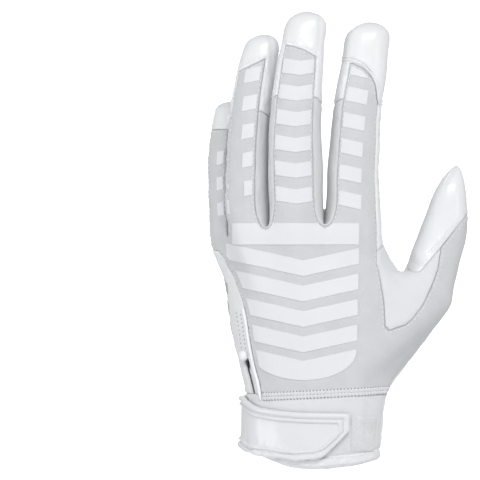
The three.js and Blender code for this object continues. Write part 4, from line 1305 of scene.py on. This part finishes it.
# The dart sewn into the thumb's tip: two welts beside a line on the layout plane
DART = ((67.2, 140), (61.8, 130.4))
DART_OFFSETS = (-0.8, 0.8)
DART_SLOPE = (DART[0][1] - DART[1][1]) / (DART[0][0] - DART[1][0])


def from_dart(p):
    return (layout_x(p) - DART[1][0] - (p[:, 2] - DART[1][1]) / DART_SLOPE) / math.hypot(
        1, 1 / DART_SLOPE)


facing_back = depth_of(skin.normals[skin.tris].mean(1)) < 0
tip = region("palm", low=DART[1][1], left=DART[1][0] - 2, where=facing_back)
welts = lines_at(tip, from_dart, DART_OFFSETS)
make_object("thumb_dart", cords(welts, 0.42, RAISED), "grip_silicone", sharp=80)


# The stage, the camera and the lights, in metres

BACKDROP_AWAY, BACKDROP_GLOW, BACKDROP_HALF, BACKDROP_TOP = 2.8, 1.0, 0.42, 0.46
FLOOR_LEVEL = -0.17
WORLD_GLOW = 0.5
# Name, place, height that it points at on the glove's axis, size, power
LIGHTS = [
    ("key", (0.45, -0.95, 1.0), 0.11, (1.1, 0.4), 9.3),
    ("side", (1.1, -0.55, 0.25), 0.11, (0.4, 0.8), 1.9),
    ("fill", (-0.95, -0.75, 0.15), 0.1, (0.4, 0.8), 3.9),
    ("rear", (-0.1, 1.1, 0.3), 0.11, (0.6, 0.4), 3.6),
]
SENSOR = 36


def stage_sheet(name, corners, material):
    mesh = bpy.data.meshes.new(name)
    mesh.from_pydata(corners, [], [(0, 1, 2, 3)])
    mesh.materials.append(material)
    obj = linked(name, mesh)
    obj.rotation_euler = (0, 0, LAYOUT_TURN)


def make_stage():
    """A pale floor well below the glove, and a lit white backdrop behind it."""
    pale = material_of("floor", (0.86, 0.86, 0.87), 0.9)
    half = BACKDROP_AWAY
    around = [(-half, -half), (half, -half), (half, half), (-half, half)]
    stage_sheet("floor", [(x, y, FLOOR_LEVEL) for x, y in around], pale)
    lit = material_of("backdrop", (0.9, 0.9, 0.9), 0.9, Emission_Color=(1, 1, 1, 1),
                      Emission_Strength=BACKDROP_GLOW)
    half, low, top = BACKDROP_HALF, FLOOR_LEVEL, BACKDROP_TOP
    around = [(-half, low), (half, low), (half, top), (-half, top)]
    stage_sheet("backdrop", [(x, BACKDROP_AWAY, z) for x, z in around], lit)


def aim_at(obj, place, aim):
    obj.location = place
    obj.rotation_euler = (Vector(aim) - Vector(place)).to_track_quat("-Z", "Y").to_euler()


def make_camera():
    """The photograph's view: 480 pixels show 224.6 mm at the glove, seen from 14 degrees."""
    pixel, across_zero, height_zero, size = 0.468, 312, 466, 480
    distance = 2500
    across = (size / 2 - across_zero) * pixel
    height = (height_zero - size / 2) * pixel
    side = np.array([TURN_COS, TURN_SIN, 0])
    back = np.array([TURN_SIN, -TURN_COS, 0])
    camera = linked("camera", bpy.data.cameras.new("camera"))
    aim_at(camera, (back * distance + [0, 0, height]) * MM, (side * across + [0, 0, height]) * MM)
    camera.data.sensor_width = SENSOR
    camera.data.lens = SENSOR * math.hypot(distance, across) / (size * pixel)
    bpy.context.scene.camera = camera


def make_lights():
    world = bpy.data.worlds.new("studio")
    bpy.context.scene.world = world
    world.use_nodes = True
    world.node_tree.nodes["Background"].inputs["Color"].default_value = (1, 1, 1, 1)
    world.node_tree.nodes["Background"].inputs["Strength"].default_value = WORLD_GLOW
    for name, place, aim_height, size, power in LIGHTS:
        light = bpy.data.lights.new(name, "AREA")
        light.shape = "RECTANGLE"
        light.size, light.size_y = size
        light.energy = power
        aim_at(linked(name, light), place, (0, 0, aim_height))


make_stage()
make_camera()
make_lights()
bpy.context.scene.view_settings.view_transform = "Standard"
